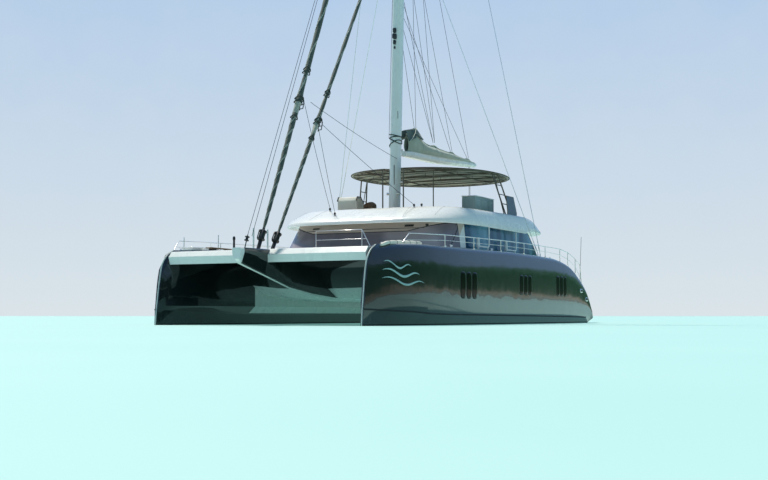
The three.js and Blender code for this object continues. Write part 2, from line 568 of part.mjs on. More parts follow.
addPiece('helm_chair', joined(
  box(-2150, -1350, -3000, -2200, 5150, 5330), box(-2200, -2080, -3000, -2200, 5150, 5900),
  box(-2150, -1400, -3060, -2960, 5150, 5560), box(-2150, -1400, -2240, -2140, 5150, 5560),
  bar([-1750, -2600, fly], [-1750, -2600, 5200], 180, 16),
), 'wicker');
addPiece('bar_cabinet', joined(
  box(-3600, -1320, 2620, 3280, fly, 5860), box(-3620, -1300, 2600, 3300, 5850, 5900),
), 'cabinet');
addPiece('flybridge_sofa', joined(
  box(-7100, -6400, -2300, 2300, fly, 5120), box(-7100, -6880, -2300, 2300, fly, 5450),
  box(-6500, -4900, -3300, -2600, fly, 5120), box(-6990, -6400, -2900, -2200, fly, 5120),
), 'cushion');
addPiece('flybridge_table', joined(
  box(-6050, -5150, -1500, 1500, 5380, 5430), box(-5750, -5450, -700, 700, fly, 5390),
), 'wood');

// Hardtop: an oval, cambered top with a slot for the mast, on a tubular frame
const TOP = { front: 650, aft: -7750, half: 3650, power: 2.25, widest: -3550, crown: 210, thick: 45 };
const SLOT = { aft: -420, half: 430 };
const topLevel = (x, y) => {
  const [u, v] = [(x - TOP.widest) / (TOP.front - TOP.widest), y / TOP.half];
  return RIM + TOP.crown * (1 - Math.min(u * u + v * v, 1));
};
const topRing = (share, lift) => oval({
  front: TOP.widest + share * (TOP.front - TOP.widest), aft: TOP.widest + share * (TOP.aft - TOP.widest),
  half: share * TOP.half, power: TOP.power, widest: TOP.widest, count: 48,
}).map(([x, y]) => [x, y, topLevel(x, y) + lift]);
const topShell = skin([
  topRing(0.35, 0), topRing(0.7, 0), topRing(0.93, 0), topRing(1, TOP.thick * 0.5), topRing(0.93, TOP.thick),
  topRing(0.7, TOP.thick), topRing(0.35, TOP.thick),
]).subtract(box(SLOT.aft, 2000, -SLOT.half, SLOT.half, 6500, 8000));
addPiece('hardtop', topShell, 'canopy');

// The frame under it: rim tube, cross tubes and lengthwise tubes, legs to the coachroof
const FRAME = { tube: 34, rise: 5, share: 0.97, reach: 4200, foot: 4600 };
const MAST_LEG = { x: 560, y: 530, aft: -900 };
const frameUnder = RIM + FRAME.rise;
const frameOval = oval({
  front: TOP.widest + FRAME.share * FRAME.reach, aft: TOP.widest - FRAME.share * FRAME.reach, half: FRAME.share * TOP.half,
  power: TOP.power, widest: TOP.widest, count: 24, z: frameUnder,
});
// Cross tubes by x; lengthwise tubes by y; legs from [top x, top y] to [foot x, foot y]
const CROSS_TUBES = [-900, -2900, -4700, -6300];
const LONG_TUBES = [-1700, 1700];
const LEGS = [
  [[MAST_LEG.x, MAST_LEG.y], [MAST_LEG.x, MAST_LEG.y]], [[-2850, 3490], [-3550, 4080]], [[-3500, 3520], [-4350, 4090]],
];
function makeFrame() {
  const reachY = (x) => FRAME.share * TOP.half * (1 - Math.abs((x - TOP.widest) / (FRAME.share * FRAME.reach)) ** TOP.power) ** (1 / TOP.power);
  const reachX = (y) => FRAME.share * FRAME.reach * (1 - Math.abs(y / (FRAME.share * TOP.half)) ** TOP.power) ** (1 / TOP.power);
  let frame = bentTube([...frameOval, frameOval[0]], FRAME.tube, 6);
  frame = frame.subtract(box(-390, 2000, -400, 400, 6500, 8000));
  for (const x of CROSS_TUBES) {
    frame = frame.add(bar([x, -reachY(x), frameUnder], [x, reachY(x), frameUnder], FRAME.tube, 6));
  }
  for (const y of LONG_TUBES) {
    frame = frame.add(bar([TOP.widest - reachX(y), y, frameUnder], [TOP.widest + reachX(y), y, frameUnder], FRAME.tube, 6));
  }
  for (const side of [1, -1]) {
    for (const [[x, y], [footX, footY]] of LEGS) {
      frame = frame.add(bar([footX, side * footY, FRAME.foot], [x, side * y, frameUnder], FRAME.tube, 8));
    }
    const rung = (t) => [0, 1].map((k) => {
      const [[x, y], [footX, footY]] = LEGS[k + 1];
      return [footX + (x - footX) * t, side * (footY + (y - footY) * t), FRAME.foot + (frameUnder - FRAME.foot) * t];
    });
    for (const t of [0.42, 0.6, 0.78]) frame = frame.add(bar(...rung(t), 22, 6));
    frame = frame.add(bar([MAST_LEG.x, side * MAST_LEG.y, frameUnder], [MAST_LEG.aft, side * MAST_LEG.y, frameUnder], FRAME.tube, 6));
  }
  return frame;
}
let hardtopFrame = trimmed(makeFrame(), coachroof, [0, 0, SEAT]);
for (const lift of [0, 12]) hardtopFrame = trimmed(hardtopFrame, topShell, [0, 0, lift - SEAT]);
addPiece('hardtop_frame', largest(hardtopFrame), 'frame');

// Glass windbreak on each side of the flybridge, seated on the coaming
const breakOutline = [[-3150, 5000], [-3150, 5300], [-2980, 5980], [-3900, 5980], [-4320, 5250], [-4320, 5000]];
const windbreak = trimmed(extruded(breakOutline, 'side', 4138, 4162), coachroof, [0, 0, SEAT]);
addPair('windbreak', largest(windbreak), 'glass');

// Mast: oval section raked slightly aft, tapered at the head, with two pairs of spreaders
const mastX = (z) => MAST.x - MAST.rake * (z - MAST.rakeFrom);
const mastRing = ([z, share]) => oval({
  front: mastX(z) + MAST.long * share, aft: mastX(z) - MAST.long * share, half: MAST.wide * share,
  power: 2.3, widest: mastX(z), count: 20, z,
});
// Columns: height, share of the full section
const MAST_LEVELS = [[MAST.foot + SEAT, 1], [12000, 1], [20000, 0.97], [28000, 0.85], [MAST.top, 0.6]];
const mastTube = skin(MAST_LEVELS.map(mastRing));
const SPREADERS = [[17500, 1500], [26500, 1250]];
const SHROUDS = [['cap', CHAINPLATE.capX, 34400], ['lower', CHAINPLATE.lowerX, 19950]];
const tangReach = (z) => MAST.wide * along(MAST_LEVELS, z) + 40;
const gooseneckPlate = (z) => joined(
  box(GOOSENECK.x, mastX(GOOSENECK.low), -70, 70, z, z + GOOSENECK.plate),
  bar([GOOSENECK.x, 0, z], [GOOSENECK.x, 0, z + GOOSENECK.plate], 75, 16),
);
let mast = joined(
  mastTube,
  gooseneckPlate(GOOSENECK.low - GOOSENECK.gap - GOOSENECK.plate),
  gooseneckPlate(GOOSENECK.high + GOOSENECK.gap),
);
for (const [z, reach] of SPREADERS) {
  const x = mastX(z);
  for (const side of [1, -1]) {
    mast = mast.add(bar([x, 0, z], [x - 250, side * reach, z + 80], 75, 8, 45));
  }
}
for (const [, , head] of SHROUDS) {
  mast = mast.add(bar([mastX(head), -tangReach(head), head], [mastX(head), tangReach(head), head], 70, 12));
}
addPiece('mast', mast, 'white');

// Boom: a deep tapered trough, pivoted at the gooseneck. Columns: x, underside, depth, half width
const BOOM_SECTIONS = [
  [-560, 7790, 250, 120], [-1100, 7800, 280, 210], [-4000, 7860, 290, 240], [-7500, 8090, 250, 210], [-8900, 8200, 190, 160],
];
const boomRings = BOOM_SECTIONS.map(([x, low, deep, half]) => [
  [x, -half * 0.6, low], [x, half * 0.6, low], [x, half, low + deep * 0.4], [x, half * 0.95, low + deep],
  [x, -half * 0.95, low + deep], [x, -half, low + deep * 0.4],
]);
const boom = joined(
  skin(boomRings),
  bar([GOOSENECK.x, 0, GOOSENECK.low], [GOOSENECK.x, 0, GOOSENECK.high], 60, 16),
  box(-600, GOOSENECK.x, -45, 45, GOOSENECK.low, GOOSENECK.high),
);
addPiece('boom', boom, 'white');

// Sail bag on the boom with the stowed sail in it. Columns: x, underside, top, half width
const BAG_SECTIONS = [
  [-820, 8040, 8900, 130], [-1300, 8070, 9080, 250], [-1780, 8080, 9280, 260], [-2200, 8090, 8900, 290],
  [-3100, 8110, 8690, 330], [-5100, 8190, 8620, 330], [-7500, 8320, 8520, 250], [-8750, 8370, 8450, 150],
];
const bagRings = BAG_SECTIONS.map(([x, low, high, half]) => {
  const tall = high - low;
  return [
    [x, -half * 0.7, low], [x, half * 0.7, low], [x, half, low + tall * 0.35], [x, half * 0.9, low + tall * 0.7],
    [x, half * 0.35, high], [x, -half * 0.35, high], [x, -half * 0.9, low + tall * 0.7], [x, -half, low + tall * 0.35],
  ];
});
addPiece('sail_bag', trimmed(skin(bagRings), boom, [0, 0, SEAT]), 'bag');

// Furled headsails: a drum at the tack, a roll that swells and tapers along the stay.
// Columns: share of the stay's length, radius at full size
const ROLL = [[0.042, 85], [0.09, 120], [0.25, 145], [0.55, 138], [0.9, 85], [0.985, 35]];
const DRUM = { low: 400, high: 780, radius: 150, shaft: 45 };
const GENOA = { x: 11720, seat: 2858.3, head: 28700, size: 0.79 };
const STAYSAIL = { x: 10750, seat: 2868.0, head: 20350, size: 0.62 };
function furledSail(tackX, seat, headZ, size) {
  const tack = [tackX, 0, seat + SEAT];
  const head = [mastX(headZ) + 200, 0, headZ];
  const length = Math.hypot(head[0] - tack[0], head[2] - tack[2]);
  const profile = [
    [0, 0], [0, DRUM.shaft], [DRUM.low, DRUM.shaft], [DRUM.low, DRUM.radius], [DRUM.high, DRUM.radius], [DRUM.high, 60],
    ...ROLL.map(([share, radius]) => [share * length, radius * size]), [length, 14], [length, 0],
  ];
  return turned(profile, tack, head, 12);
}
const cutForMast = mastTube.translate([SEAT, 0, 0]);
const levelSeat = (solid, x, z) => solid.subtract(box(x - 600, x + 600, -600, 600, z - 600, z + SEAT));
for (const [name, { x, seat, head, size }] of [['furled_genoa', GENOA], ['furled_staysail', STAYSAIL]]) {
  addPiece(name, largest(levelSeat(furledSail(x, seat - 30, head, size), x, seat).subtract(cutForMast)), 'sail');
}

// Cap and lower shrouds, each from its chainplate to the flat end of its tang on the mast
const SHROUD_RADIUS = 13;
for (const [place, x, head] of SHROUDS) {
  const foot = DECK + CHAINPLATE.rise + SEAT;
  const reach = tangReach(head) + SEAT;
  const start = [x, CHAINPLATE.y, foot - 40];
  const beyond = [mastX(head), reach, head].map((value, k) => value + (value - start[k]) * 0.01);
  const wire = joined(
    bar(start, beyond, SHROUD_RADIUS, 8),
    bar(start, [x + 12, CHAINPLATE.y - 60, foot + 400], 22, 8),
  );
  const ends = box(x - 500, x + 500, 4000, 6500, 0, foot)
    .add(box(-4000, 4000, -500, reach, head - 4000, head + 4000));
  addPair(`${place}_shroud`, largest(wire.subtract(ends)), 'steel');
}

// Side rails: top rail, middle rail and stanchions on the deck's edge. Columns: x, height of top
const RAIL = [
  [10000, 3060], [9620, 3420], [7000, 3500], [4000, 3550], [1000, 3600], [-2000, 3620], [-4000, 3610],
  [-6300, 3590], [-7500, 3480], [-8500, 3260], [-9500, 2930], [-9720, 1900],
];
const RAIL_TUBE = 17;
const railY = (x) => HULL_Y + along(SECTIONS.map((row) => [row[0], row[2]]), x) - 130;
const STANCHIONS = [7000, 4300, 1400, -1400, -4200, -6300, -7500, -8700];
function makeRail() {
  const top = RAIL.map(([x, z]) => [x, railY(x), z]);
  let rail = bentTube(top, RAIL_TUBE, 6);
  const middle = (x) => (along(RAIL, x) + deckAt(x)) / 2;
  const midRun = [9750, 7000, 4300, 1400, -1400, -4200, -6300, -7500, -8700, -9600].map((x) => [x, railY(x), middle(x)]);
  rail = rail.add(bentTube(midRun, 10, 6));
  for (const x of STANCHIONS) {
    rail = rail.add(bar([x, railY(x), deckAt(x) - 150], [x, railY(x), along(RAIL, x)], RAIL_TUBE, 8));
  }
  return largest(trimmed(rail, hullPort, [0, 0, SEAT]));
}
addPair('side_rail', makeRail(), 'steel');

// Rail across the front of the foredeck
const FRONT_RAIL = { x: 7480, top: 3790 };
const frontRail = joined(
  bentTube([[FRONT_RAIL.x, 2560, FOREDECK - 50], [FRONT_RAIL.x, 2120, FRONT_RAIL.top],
    [FRONT_RAIL.x, 0, FRONT_RAIL.top], [FRONT_RAIL.x, 0, FOREDECK - 50]], RAIL_TUBE, 8),
  bar([FRONT_RAIL.x, 2120, FOREDECK - 50], [FRONT_RAIL.x, 2120, FRONT_RAIL.top], RAIL_TUBE, 8),
  bar([FRONT_RAIL.x, 0, 3420], [FRONT_RAIL.x, 2340, 3420], 11, 8),
);
addPiece('foredeck_rail', trimmed(frontRail, foredeck, [0, 0, SEAT]), 'steel');

// Foredeck hatch lids, hinged along their aft edge
const hatchLid = joined(
  box(HATCH.x0, HATCH.x1, HULL_Y - HATCH.half, HULL_Y + HATCH.half, HATCH.sill + 0.5, HATCH.sill + HATCH.lid),
  box(HATCH.x1 - 60, HATCH.x1 - 30, HULL_Y - 80, HULL_Y + 80, HATCH.sill + HATCH.lid - 5, HATCH.sill + HATCH.lid + 20),
);
addPair('hatch_lid', hatchLid, 'white');

// Propeller shaft with its strut, and the propeller, on a line that falls aft
const SHAFT = { from: [-6400, HULL_Y, -640], to: [-8740, HULL_Y, -985], radius: 32 };
const strut = extruded([[-8360, -600], [-8160, -600], [-8260, -990], [-8440, -1010]], 'side', HULL_Y - 25, HULL_Y + 25);
const shaftRun = new THREE.Vector3(...SHAFT.to).sub(new THREE.Vector3(...SHAFT.from));
const shaftAt = (distance) => new THREE.Vector3(...SHAFT.to)
  .addScaledVector(shaftRun.clone().normalize(), distance).toArray();
const boss = bar(shaftAt(-480), shaftAt(-230), 62, 12);
const shaft = trimmed(joined(bar(SHAFT.from, shaftAt(-21), SHAFT.radius, 12), boss, strut), hullPort, [0, 0, -SEAT]);
addPair('propeller_shaft', largest(shaft), 'bronze');

const PROPELLER = { radius: 330, hub: 75, blades: 4 };
function makePropeller(hand) {
  let propeller = turned([[0, 0], [0, 45], [30, PROPELLER.hub], [170, 70], [250, 35], [280, 0]], [0, 0, 0], [0, 1, 0], 16);
  for (let i = 0; i < PROPELLER.blades; i += 1) {
    const blade = new THREE.SphereGeometry(1, 8, 6).scale(105, 9, 150);
    blade.rotateZ(hand * 0.55).translate(0, 105, 185);
    blade.rotateY(2 * Math.PI * i / PROPELLER.blades);
    propeller = propeller.add(solidOf(blade));
  }
  return propeller;
}
function onShaft(solid) {
  const turn = new THREE.Quaternion().setFromUnitVectors(new THREE.Vector3(0, 1, 0), shaftRun.clone().normalize());
  const matrix = new THREE.Matrix4().compose(new THREE.Vector3(...shaftAt(-20.4)), turn, new THREE.Vector3(1, 1, 1));
  return solid.transform(matrix.toArray());
}
addPair('propeller', onShaft(makePropeller(1)), 'bronze');

// Spade rudders: a tapered blade with its stock running up to the bearing
const rudderRing = (z, front, aft, half) => oval({
  front, aft, half, power: 2, widest: front - 0.3 * (front - aft), count: 16, z,
}).map(([x, y, height]) => [x, y + HULL_Y, height]);
const rudder = joined(
  skin([
    rudderRing(RUDDER.foot, RUDDER.x + 120, RUDDER.x - 300, 22), rudderRing(RUDDER.foot + 80, RUDDER.x + 190, RUDDER.x - 420, 34),
    rudderRing(RUDDER.top - 45, RUDDER.x + 230, RUDDER.x - 560, 48),
  ]),
  bar([RUDDER.x, HULL_Y, RUDDER.top - 300], [RUDDER.x, HULL_Y, RUDDER.top - 0.5], 42, 16),
);
addPair('rudder', rudder, 'antifoul');

// Lift platform across the sterns, on two guides under the transom
const platform = joined(
  box(LIFT.aft, LIFT.front, -LIFT.half, LIFT.half, LIFT.top - LIFT.thick, LIFT.top),
  box(LIFT.front - 50, GUIDE.aft - 0.6, -GUIDE.y - 110, -GUIDE.y + 110, LIFT.top - 260, LIFT.top - 10),
  box(LIFT.front - 50, GUIDE.aft - 0.6, GUIDE.y - 110, GUIDE.y + 110, LIFT.top - 260, LIFT.top - 10),
);
addPiece('lift_platform', platform, 'wood');

export default group;
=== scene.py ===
"""A sailing catamaran afloat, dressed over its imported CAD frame.

Metres; +X runs forward, +Y to port and +Z up, from the waterline amidships.
"""

import bisect
import json
import math

import bmesh
import bpy
from mathutils import Matrix, Vector
from mathutils.bvhtree import BVHTree


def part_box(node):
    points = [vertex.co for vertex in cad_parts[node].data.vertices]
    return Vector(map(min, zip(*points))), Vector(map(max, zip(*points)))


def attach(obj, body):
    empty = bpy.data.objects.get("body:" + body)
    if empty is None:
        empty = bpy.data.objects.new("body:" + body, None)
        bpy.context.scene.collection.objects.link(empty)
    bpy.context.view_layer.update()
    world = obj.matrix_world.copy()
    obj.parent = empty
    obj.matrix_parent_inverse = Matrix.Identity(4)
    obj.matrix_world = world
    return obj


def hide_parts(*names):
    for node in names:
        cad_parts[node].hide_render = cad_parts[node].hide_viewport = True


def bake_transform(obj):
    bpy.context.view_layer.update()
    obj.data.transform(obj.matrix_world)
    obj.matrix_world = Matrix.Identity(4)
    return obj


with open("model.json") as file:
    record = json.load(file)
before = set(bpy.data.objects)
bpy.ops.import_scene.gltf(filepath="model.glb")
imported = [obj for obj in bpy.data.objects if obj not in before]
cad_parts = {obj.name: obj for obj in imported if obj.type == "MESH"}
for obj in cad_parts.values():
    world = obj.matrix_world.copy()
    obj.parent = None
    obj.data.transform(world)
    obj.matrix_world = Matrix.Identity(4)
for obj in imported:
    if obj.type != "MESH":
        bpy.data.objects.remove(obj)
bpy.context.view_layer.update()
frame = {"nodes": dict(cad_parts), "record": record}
NODES = frame["nodes"]


# Camera
# It stands low over the water off the port bow and looks slightly up, as from a small boat.
YAW = math.radians(27.323)
PITCH = math.radians(3.608)
view = Vector((-math.cos(YAW) * math.cos(PITCH), -math.sin(YAW) * math.cos(PITCH), math.sin(PITCH)))
lens = bpy.data.cameras.new("camera")
lens.sensor_width = 36
lens.lens = 56.06
lens.clip_end = 2000
camera = bpy.data.objects.new("camera", lens)
camera.location = (49.277, 24.704, 0.374)
camera.rotation_euler = view.to_track_quat("-Z", "Y").to_euler()
bpy.context.scene.collection.objects.link(camera)
bpy.context.scene.camera = camera


# Floor and light
# A pale floor lies at the waterline. One broad sun stands high to starboard, and a pale sky fills
# the shade. Reflections also meet a dark uneven band low down, as a wooded shore would give.
def linear(colour, alpha=1.0):
    """The linear value of an sRGB hex colour."""
    parts = [int(colour[i:i + 2], 16) / 255 for i in (1, 3, 5)]
    return [p / 12.92 if p <= 0.04045 else ((p + 0.055) / 1.055) ** 2.4 for p in parts] + [alpha]


def fill(tree, node, links):
    """Links a node's inputs to sockets, or gives them plain values."""
    for name, value in links.items():
        if isinstance(value, bpy.types.NodeSocket):
            tree.links.new(value, node.inputs[name])
        else:
            node.inputs[name].default_value = value


def add(tree, kind, links=None, **settings):
    """A shader node with its settings and its inputs."""
    node = tree.nodes.new("ShaderNode" + kind)
    for name, value in settings.items():
        setattr(node, name, value)
    fill(tree, node, links or {})
    return node


def finish(name, **values):
    """A new material, its node tree, its shader with plain values set, and its Object coordinates."""
    material = bpy.data.materials.new(name)
    material.use_nodes = True
    tree = material.node_tree
    shader = tree.nodes["Principled BSDF"]
    for key, value in values.items():
        shader.inputs[key.replace("_", " ").title().replace("Ior", "IOR")].default_value = value
    return material, tree, shader, add(tree, "TexCoord").outputs["Object"]


# Points closer than this are one, in metres
WELD = 0.00005


def mesh_object(name, shape, materials, sharp=30, normals=True):
    """A finished bmesh as an object at the origin, smooth but for edges sharper than an angle."""
    bmesh.ops.remove_doubles(shape, verts=shape.verts, dist=WELD)
    if normals:
        bmesh.ops.recalc_face_normals(shape, faces=shape.faces)
    data = bpy.data.meshes.new(name)
    shape.to_mesh(data)
    shape.free()
    data.shade_smooth()
    data.set_sharp_from_angle(angle=math.radians(sharp))
    for material in materials if isinstance(materials, (list, tuple)) else [materials]:
        data.materials.append(material)
    piece = bpy.data.objects.new(name, data)
    bpy.context.scene.collection.objects.link(piece)
    return piece


# Matt painted studio floor: a pale sea green with a faint cloud so that it isn't dead flat. It glows a
# little, as sunlit shallow water does, and so fills the tunnel between the hulls.
floor_paint, tree, shader, place = finish("matt_floor_paint", roughness=0.6, emission_strength=0.36)
shader.inputs["Emission Color"].default_value = linear("#8cc4bc")
cloud = add(tree, "TexNoise", {"Vector": place, "Scale": 0.2, "Detail": 3.0}).outputs["Fac"]
tint = add(tree, "Mix", {0: cloud, 6: linear("#97b9b6"), 7: linear("#a0bfbc")}, data_type="RGBA")
fill(tree, shader, {"Base Color": tint.outputs[2]})
shape = bmesh.new()
bmesh.ops.create_circle(shape, cap_ends=True, segments=96, radius=600)
floor = mesh_object("floor", shape, floor_paint)

sun_data = bpy.data.lights.new("sun", "SUN")
sun_data.energy = 4.6
sun_data.angle = math.radians(5)
sun_data.color = (1.0, 0.94, 0.84)
sun = bpy.data.objects.new("sun", sun_data)
sun_from = Vector((-0.15, -0.48, 1.0))
sun.rotation_euler = (-sun_from).to_track_quat("-Z", "Y").to_euler()
bpy.context.scene.collection.objects.link(sun)

# Columns: height of the direction looked in, and the colour met there, by reflections and by the camera
SHORE_AND_SKY = [(0.0, "#a5b8b4"), (0.006, "#d6cfbb"), (0.0125, "#4f7560"), (0.045, "#3d6a52"),
                 (0.07, "#55836a"), (0.082, "#8fb4d8"), (0.35, "#86aede"), (0.9, "#6b9bd6")]
OPEN_SKY = [(0.0, "#dfe9ee"), (0.45, "#9fc4ee")]
world = bpy.data.worlds.new("sky")
world.use_nodes = True
bpy.context.scene.world = world
tree = world.node_tree
looked = add(tree, "TexCoord").outputs["Generated"]
parts = add(tree, "SeparateXYZ", {0: looked}).outputs
abeam = add(tree, "MapRange", {"Value": parts["Y"], "From Min": 0.45, "From Max": 0.9,
                               "To Min": 0.9, "To Max": 0.04}).outputs["Result"]
treetops = add(tree, "TexNoise", {"Vector": looked, "Scale": 24.0, "Detail": 5.0}).outputs["Fac"]
reach = add(tree, "Math", {0: treetops, 1: 0.36, 2: abeam}, operation="MULTIPLY_ADD").outputs[0]
height = add(tree, "Math", {0: parts["Z"], 1: reach}, operation="MULTIPLY").outputs[0]
skies = []
for stops in (SHORE_AND_SKY, OPEN_SKY):
    ramp = add(tree, "ValToRGB", {"Fac": height})
    for at, colour in stops[1:-1]:
        ramp.color_ramp.elements.new(at)
    for element, (at, colour) in zip(ramp.color_ramp.elements, stops):
        element.position = at
        element.color = linear(colour)
    skies.append(add(tree, "Background", {"Color": ramp.outputs["Color"], "Strength": 0.95}).outputs[0])
shade = add(tree, "Background", {"Color": linear("#8ab4cc"), "Strength": 0.6}).outputs[0]
ray = add(tree, "LightPath").outputs
met = add(tree, "MixShader", {0: ray["Is Diffuse Ray"], 1: skies[0], 2: shade}).outputs[0]
met = add(tree, "MixShader", {0: ray["Is Camera Ray"], 1: met, 2: skies[1]}).outputs[0]
tree.links.new(met, tree.nodes["World Output"].inputs["Surface"])
bpy.context.scene.view_settings.view_transform = "Standard"


# Hulls
# Two slim hulls moulded in glass fibre and sprayed in a dark gelcoat polished to a mirror. A white
# deck is let into the rolled sheer, and the tunnel side turns white abaft the foredeck.
HULL_Y = 4.55
# Columns: x, deck, outer and inner half breadth, waterline half breadth, chine, draught, stem's rake
SECTIONS = [
    (12.0, 2.96, 0.07, 0.07, 0.045, 0.59, 0.15, 1), (11.3, 2.97, 0.39, 0.39, 0.14, 0.57, 0.55, 0.75),
    (10.4, 3.0, 0.69, 0.69, 0.29, 0.54, 0.76, 0.45), (9.2, 3.04, 0.93, 0.93, 0.46, 0.5, 0.9, 0.2),
    (8.0, 3.06, 1.06, 1.06, 0.61, 0.44, 0.98, 0), (6.0, 3.085, 1.16, 1.17, 0.79, 0.41, 1.08, 0),
    (3.0, 3.12, 1.19, 1.24, 0.93, 0.39, 1.12, 0), (0.0, 3.17, 1.2, 1.25, 0.98, 0.37, 1.12, 0),
    (-3.0, 3.145, 1.2, 1.25, 0.98, 0.35, 1.04, 0), (-5.1, 3.12, 1.2, 1.25, 0.965, 0.335, 0.92, 0),
    (-6.3, 3.03, 1.2, 1.25, 0.95, 0.325, 0.81, 0), (-7.6, 2.82, 1.195, 1.25, 0.93, 0.315, 0.68, 0),
    (-9.0, 2.32, 1.18, 1.25, 0.9, 0.3, 0.52, 0), (-10.0, 1.83, 1.165, 1.25, 0.88, 0.29, 0.4, 0),
    (-10.7, 1.27, 1.15, 1.24, 0.86, 0.28, 0.31, 0), (-11.1, 0.78, 1.14, 1.23, 0.85, 0.26, 0.26, 0),
    (-11.23, 0.42, 1.13, 1.22, 0.84, 0.2, 0.24, 0),
]
# How far the stem lies aft of its foot, by height
STEM = [(-1.2, 0.9), (-0.9, 0.42), (-0.5, 0.12), (0, 0), (1.27, 0.14), (2.28, 0.33), (2.72, 0.64),
        (2.96, 1.1)]
# Stern stairs: the front edge of each tread and its height
TREADS = [(-6.7, 1.95), (-8.5, 1.66), (-8.95, 1.37), (-9.4, 1.08), (-9.85, 0.79), (-10.3, 0.5)]
STAIR_END, STAIR_INNER, STAIR_OUTER = -11.4, HULL_Y - 1.4, HULL_Y + 0.88
ABOVE_DECK = 3.4


def eased(rows, x):
    """The values at x from rows that begin with x, along a smooth curve that never overshoots."""
    rows = sorted(rows)
    i = min(max(bisect.bisect_right([row[0] for row in rows], x), 1), len(rows) - 1)

    def steepness(k, column):
        """The slope of a column at a row, level where the column turns."""
        around = rows[max(k - 1, 0):k + 2]
        slopes = [(b[column] - a[column]) / (b[0] - a[0]) for a, b in zip(around, around[1:])]
        if len(slopes) == 1:
            return slopes[0]
        return 0 if slopes[0] * slopes[1] <= 0 else 2 * slopes[0] * slopes[1] / (slopes[0] + slopes[1])

    near, far = rows[i - 1], rows[i]
    run = far[0] - near[0]
    t = min(max((x - near[0]) / run, 0), 1)
    values = []
    for column in range(1, len(near)):
        m, n = steepness(i - 1, column) * run, steepness(i, column) * run
        p, q = near[column], far[column]
        values.append(
            p * (2 * t ** 3 - 3 * t ** 2 + 1) + m * (t ** 3 - 2 * t ** 2 + t)
            + q * (3 * t ** 2 - 2 * t ** 3) + n * (t ** 3 - t ** 2)
        )
    return values


def lofted(rings, capped=True):
    """A bmesh skinned over rings of equally many points."""
    shape = bmesh.new()
    loops = []
    for ring in rings:
        verts = [shape.verts.new(point) for point in ring]
        loops.append([shape.edges.new(pair) for pair in zip(verts, verts[1:] + verts[:1])])
    for near, far in zip(loops, loops[1:]):
        bmesh.ops.bridge_loops(shape, edges=near + far)
    if capped:
        for loop in (loops[0], loops[-1]):
            bmesh.ops.contextual_create(shape, geom=loop)
    bmesh.ops.recalc_face_normals(shape, faces=shape.faces)
    return shape


def pushed(shape, faces, along, keep=True):
    """Pushes faces of a bmesh out by a vector, and gives the points that moved."""
    grown = bmesh.ops.extrude_face_region(shape, geom=faces, use_keep_orig=keep)
    moved = [item for item in grown["geom"] if isinstance(item, bmesh.types.BMVert)]
    bmesh.ops.translate(shape, verts=moved, vec=along)
    return moved


def extruded(outline, along, depth):
    """A bmesh of an outline of points pushed out along a direction."""
    shape = bmesh.new()
    face = shape.faces.new([shape.verts.new(point) for point in outline])
    pushed(shape, [face], Vector(along).normalized() * depth)
    bmesh.ops.recalc_face_normals(shape, faces=shape.faces)
    return shape


def block(low, high, bevel=0.0, segments=2):
    """A bmesh box between two corners, its edges rounded."""
    shape = bmesh.new()
    bmesh.ops.create_cube(shape, size=1)
    size = [b - a for a, b in zip(low, high)]
    bmesh.ops.scale(shape, vec=size, verts=shape.verts)
    bmesh.ops.translate(shape, vec=[(a + b) / 2 for a, b in zip(low, high)], verts=shape.verts)
    if bevel:
        bmesh.ops.bevel(shape, geom=shape.edges[:], offset=bevel, segments=segments, profile=0.5,
                        affect="EDGES", clamp_overlap=True, material=-1)
    return shape


def cone(segments, low, high, depth):
    """A bmesh cone or drum round Z, with its radii below and above."""
    shape = bmesh.new()
    bmesh.ops.create_cone(shape, cap_ends=True, segments=segments, radius1=low, radius2=high, depth=depth)
    return shape


def painted(shape, index):
    """The bmesh with every face in the object's material of that index."""
    for face in shape.faces:
        face.material_index = index
    return shape


def sliced(shape, point, normal):
    """Cuts edges into a bmesh where a plane passes through it."""
    bmesh.ops.bisect_plane(shape, geom=shape.verts[:] + shape.edges[:] + shape.faces[:], dist=0.0001,
                           plane_co=point, plane_no=normal)


def gathered(*shapes):
    """Several bmeshes as one, each a closed shell of its own."""
    whole = bmesh.new()
    for shape in shapes:
        data = bpy.data.meshes.new("part")
        shape.to_mesh(data)
        shape.free()
        whole.from_mesh(data)
        bpy.data.meshes.remove(data)
    return whole


def worked(piece):
    """The piece with its modifiers worked into its mesh."""
    graph = bpy.context.evaluated_depsgraph_get()
    data = bpy.data.meshes.new_from_object(piece.evaluated_get(graph))
    piece.modifiers.clear()
    piece.data = data
    return piece


def cut(piece, tool, operation="DIFFERENCE"):
    """The piece with a tool's solid cut away, or kept only inside it."""
    boolean = piece.modifiers.new("cut", "BOOLEAN")
    boolean.object = tool
    boolean.operation = operation
    boolean.solver = "EXACT"
    worked(piece)
    bpy.data.objects.remove(tool)
    return piece


def reshaped(piece):
    """A bmesh of a piece's own mesh."""
    shape = bmesh.new()
    shape.from_mesh(piece.data)
    return shape


def other_side(piece, name):
    """The piece mirrored to starboard under a name of its own."""
    shape = reshaped(piece)
    bmesh.ops.scale(shape, vec=(1, -1, 1), verts=shape.verts)
    bmesh.ops.reverse_faces(shape, faces=shape.faces)
    return mesh_object(name, shape, list(piece.data.materials), normals=False)


BODY = {node: body for body, nodes in frame["record"]["behaviour"]["bodies"].items() for node in nodes}


def stands_for(piece, *nodes):
    """The piece takes the place of CAD nodes: it moves as they do."""
    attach(piece, BODY[nodes[0]])
    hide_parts(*nodes)
    return piece


def belongs(piece, body="boat"):
    """An added piece moves with a body."""
    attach(piece, body)
    return piece


def on_both_sides(piece):
    """An added piece to port and its mirror image to starboard, both fixed to the boat."""
    belongs(piece)
    belongs(other_side(piece, piece.name.replace("_port", "_starboard")))


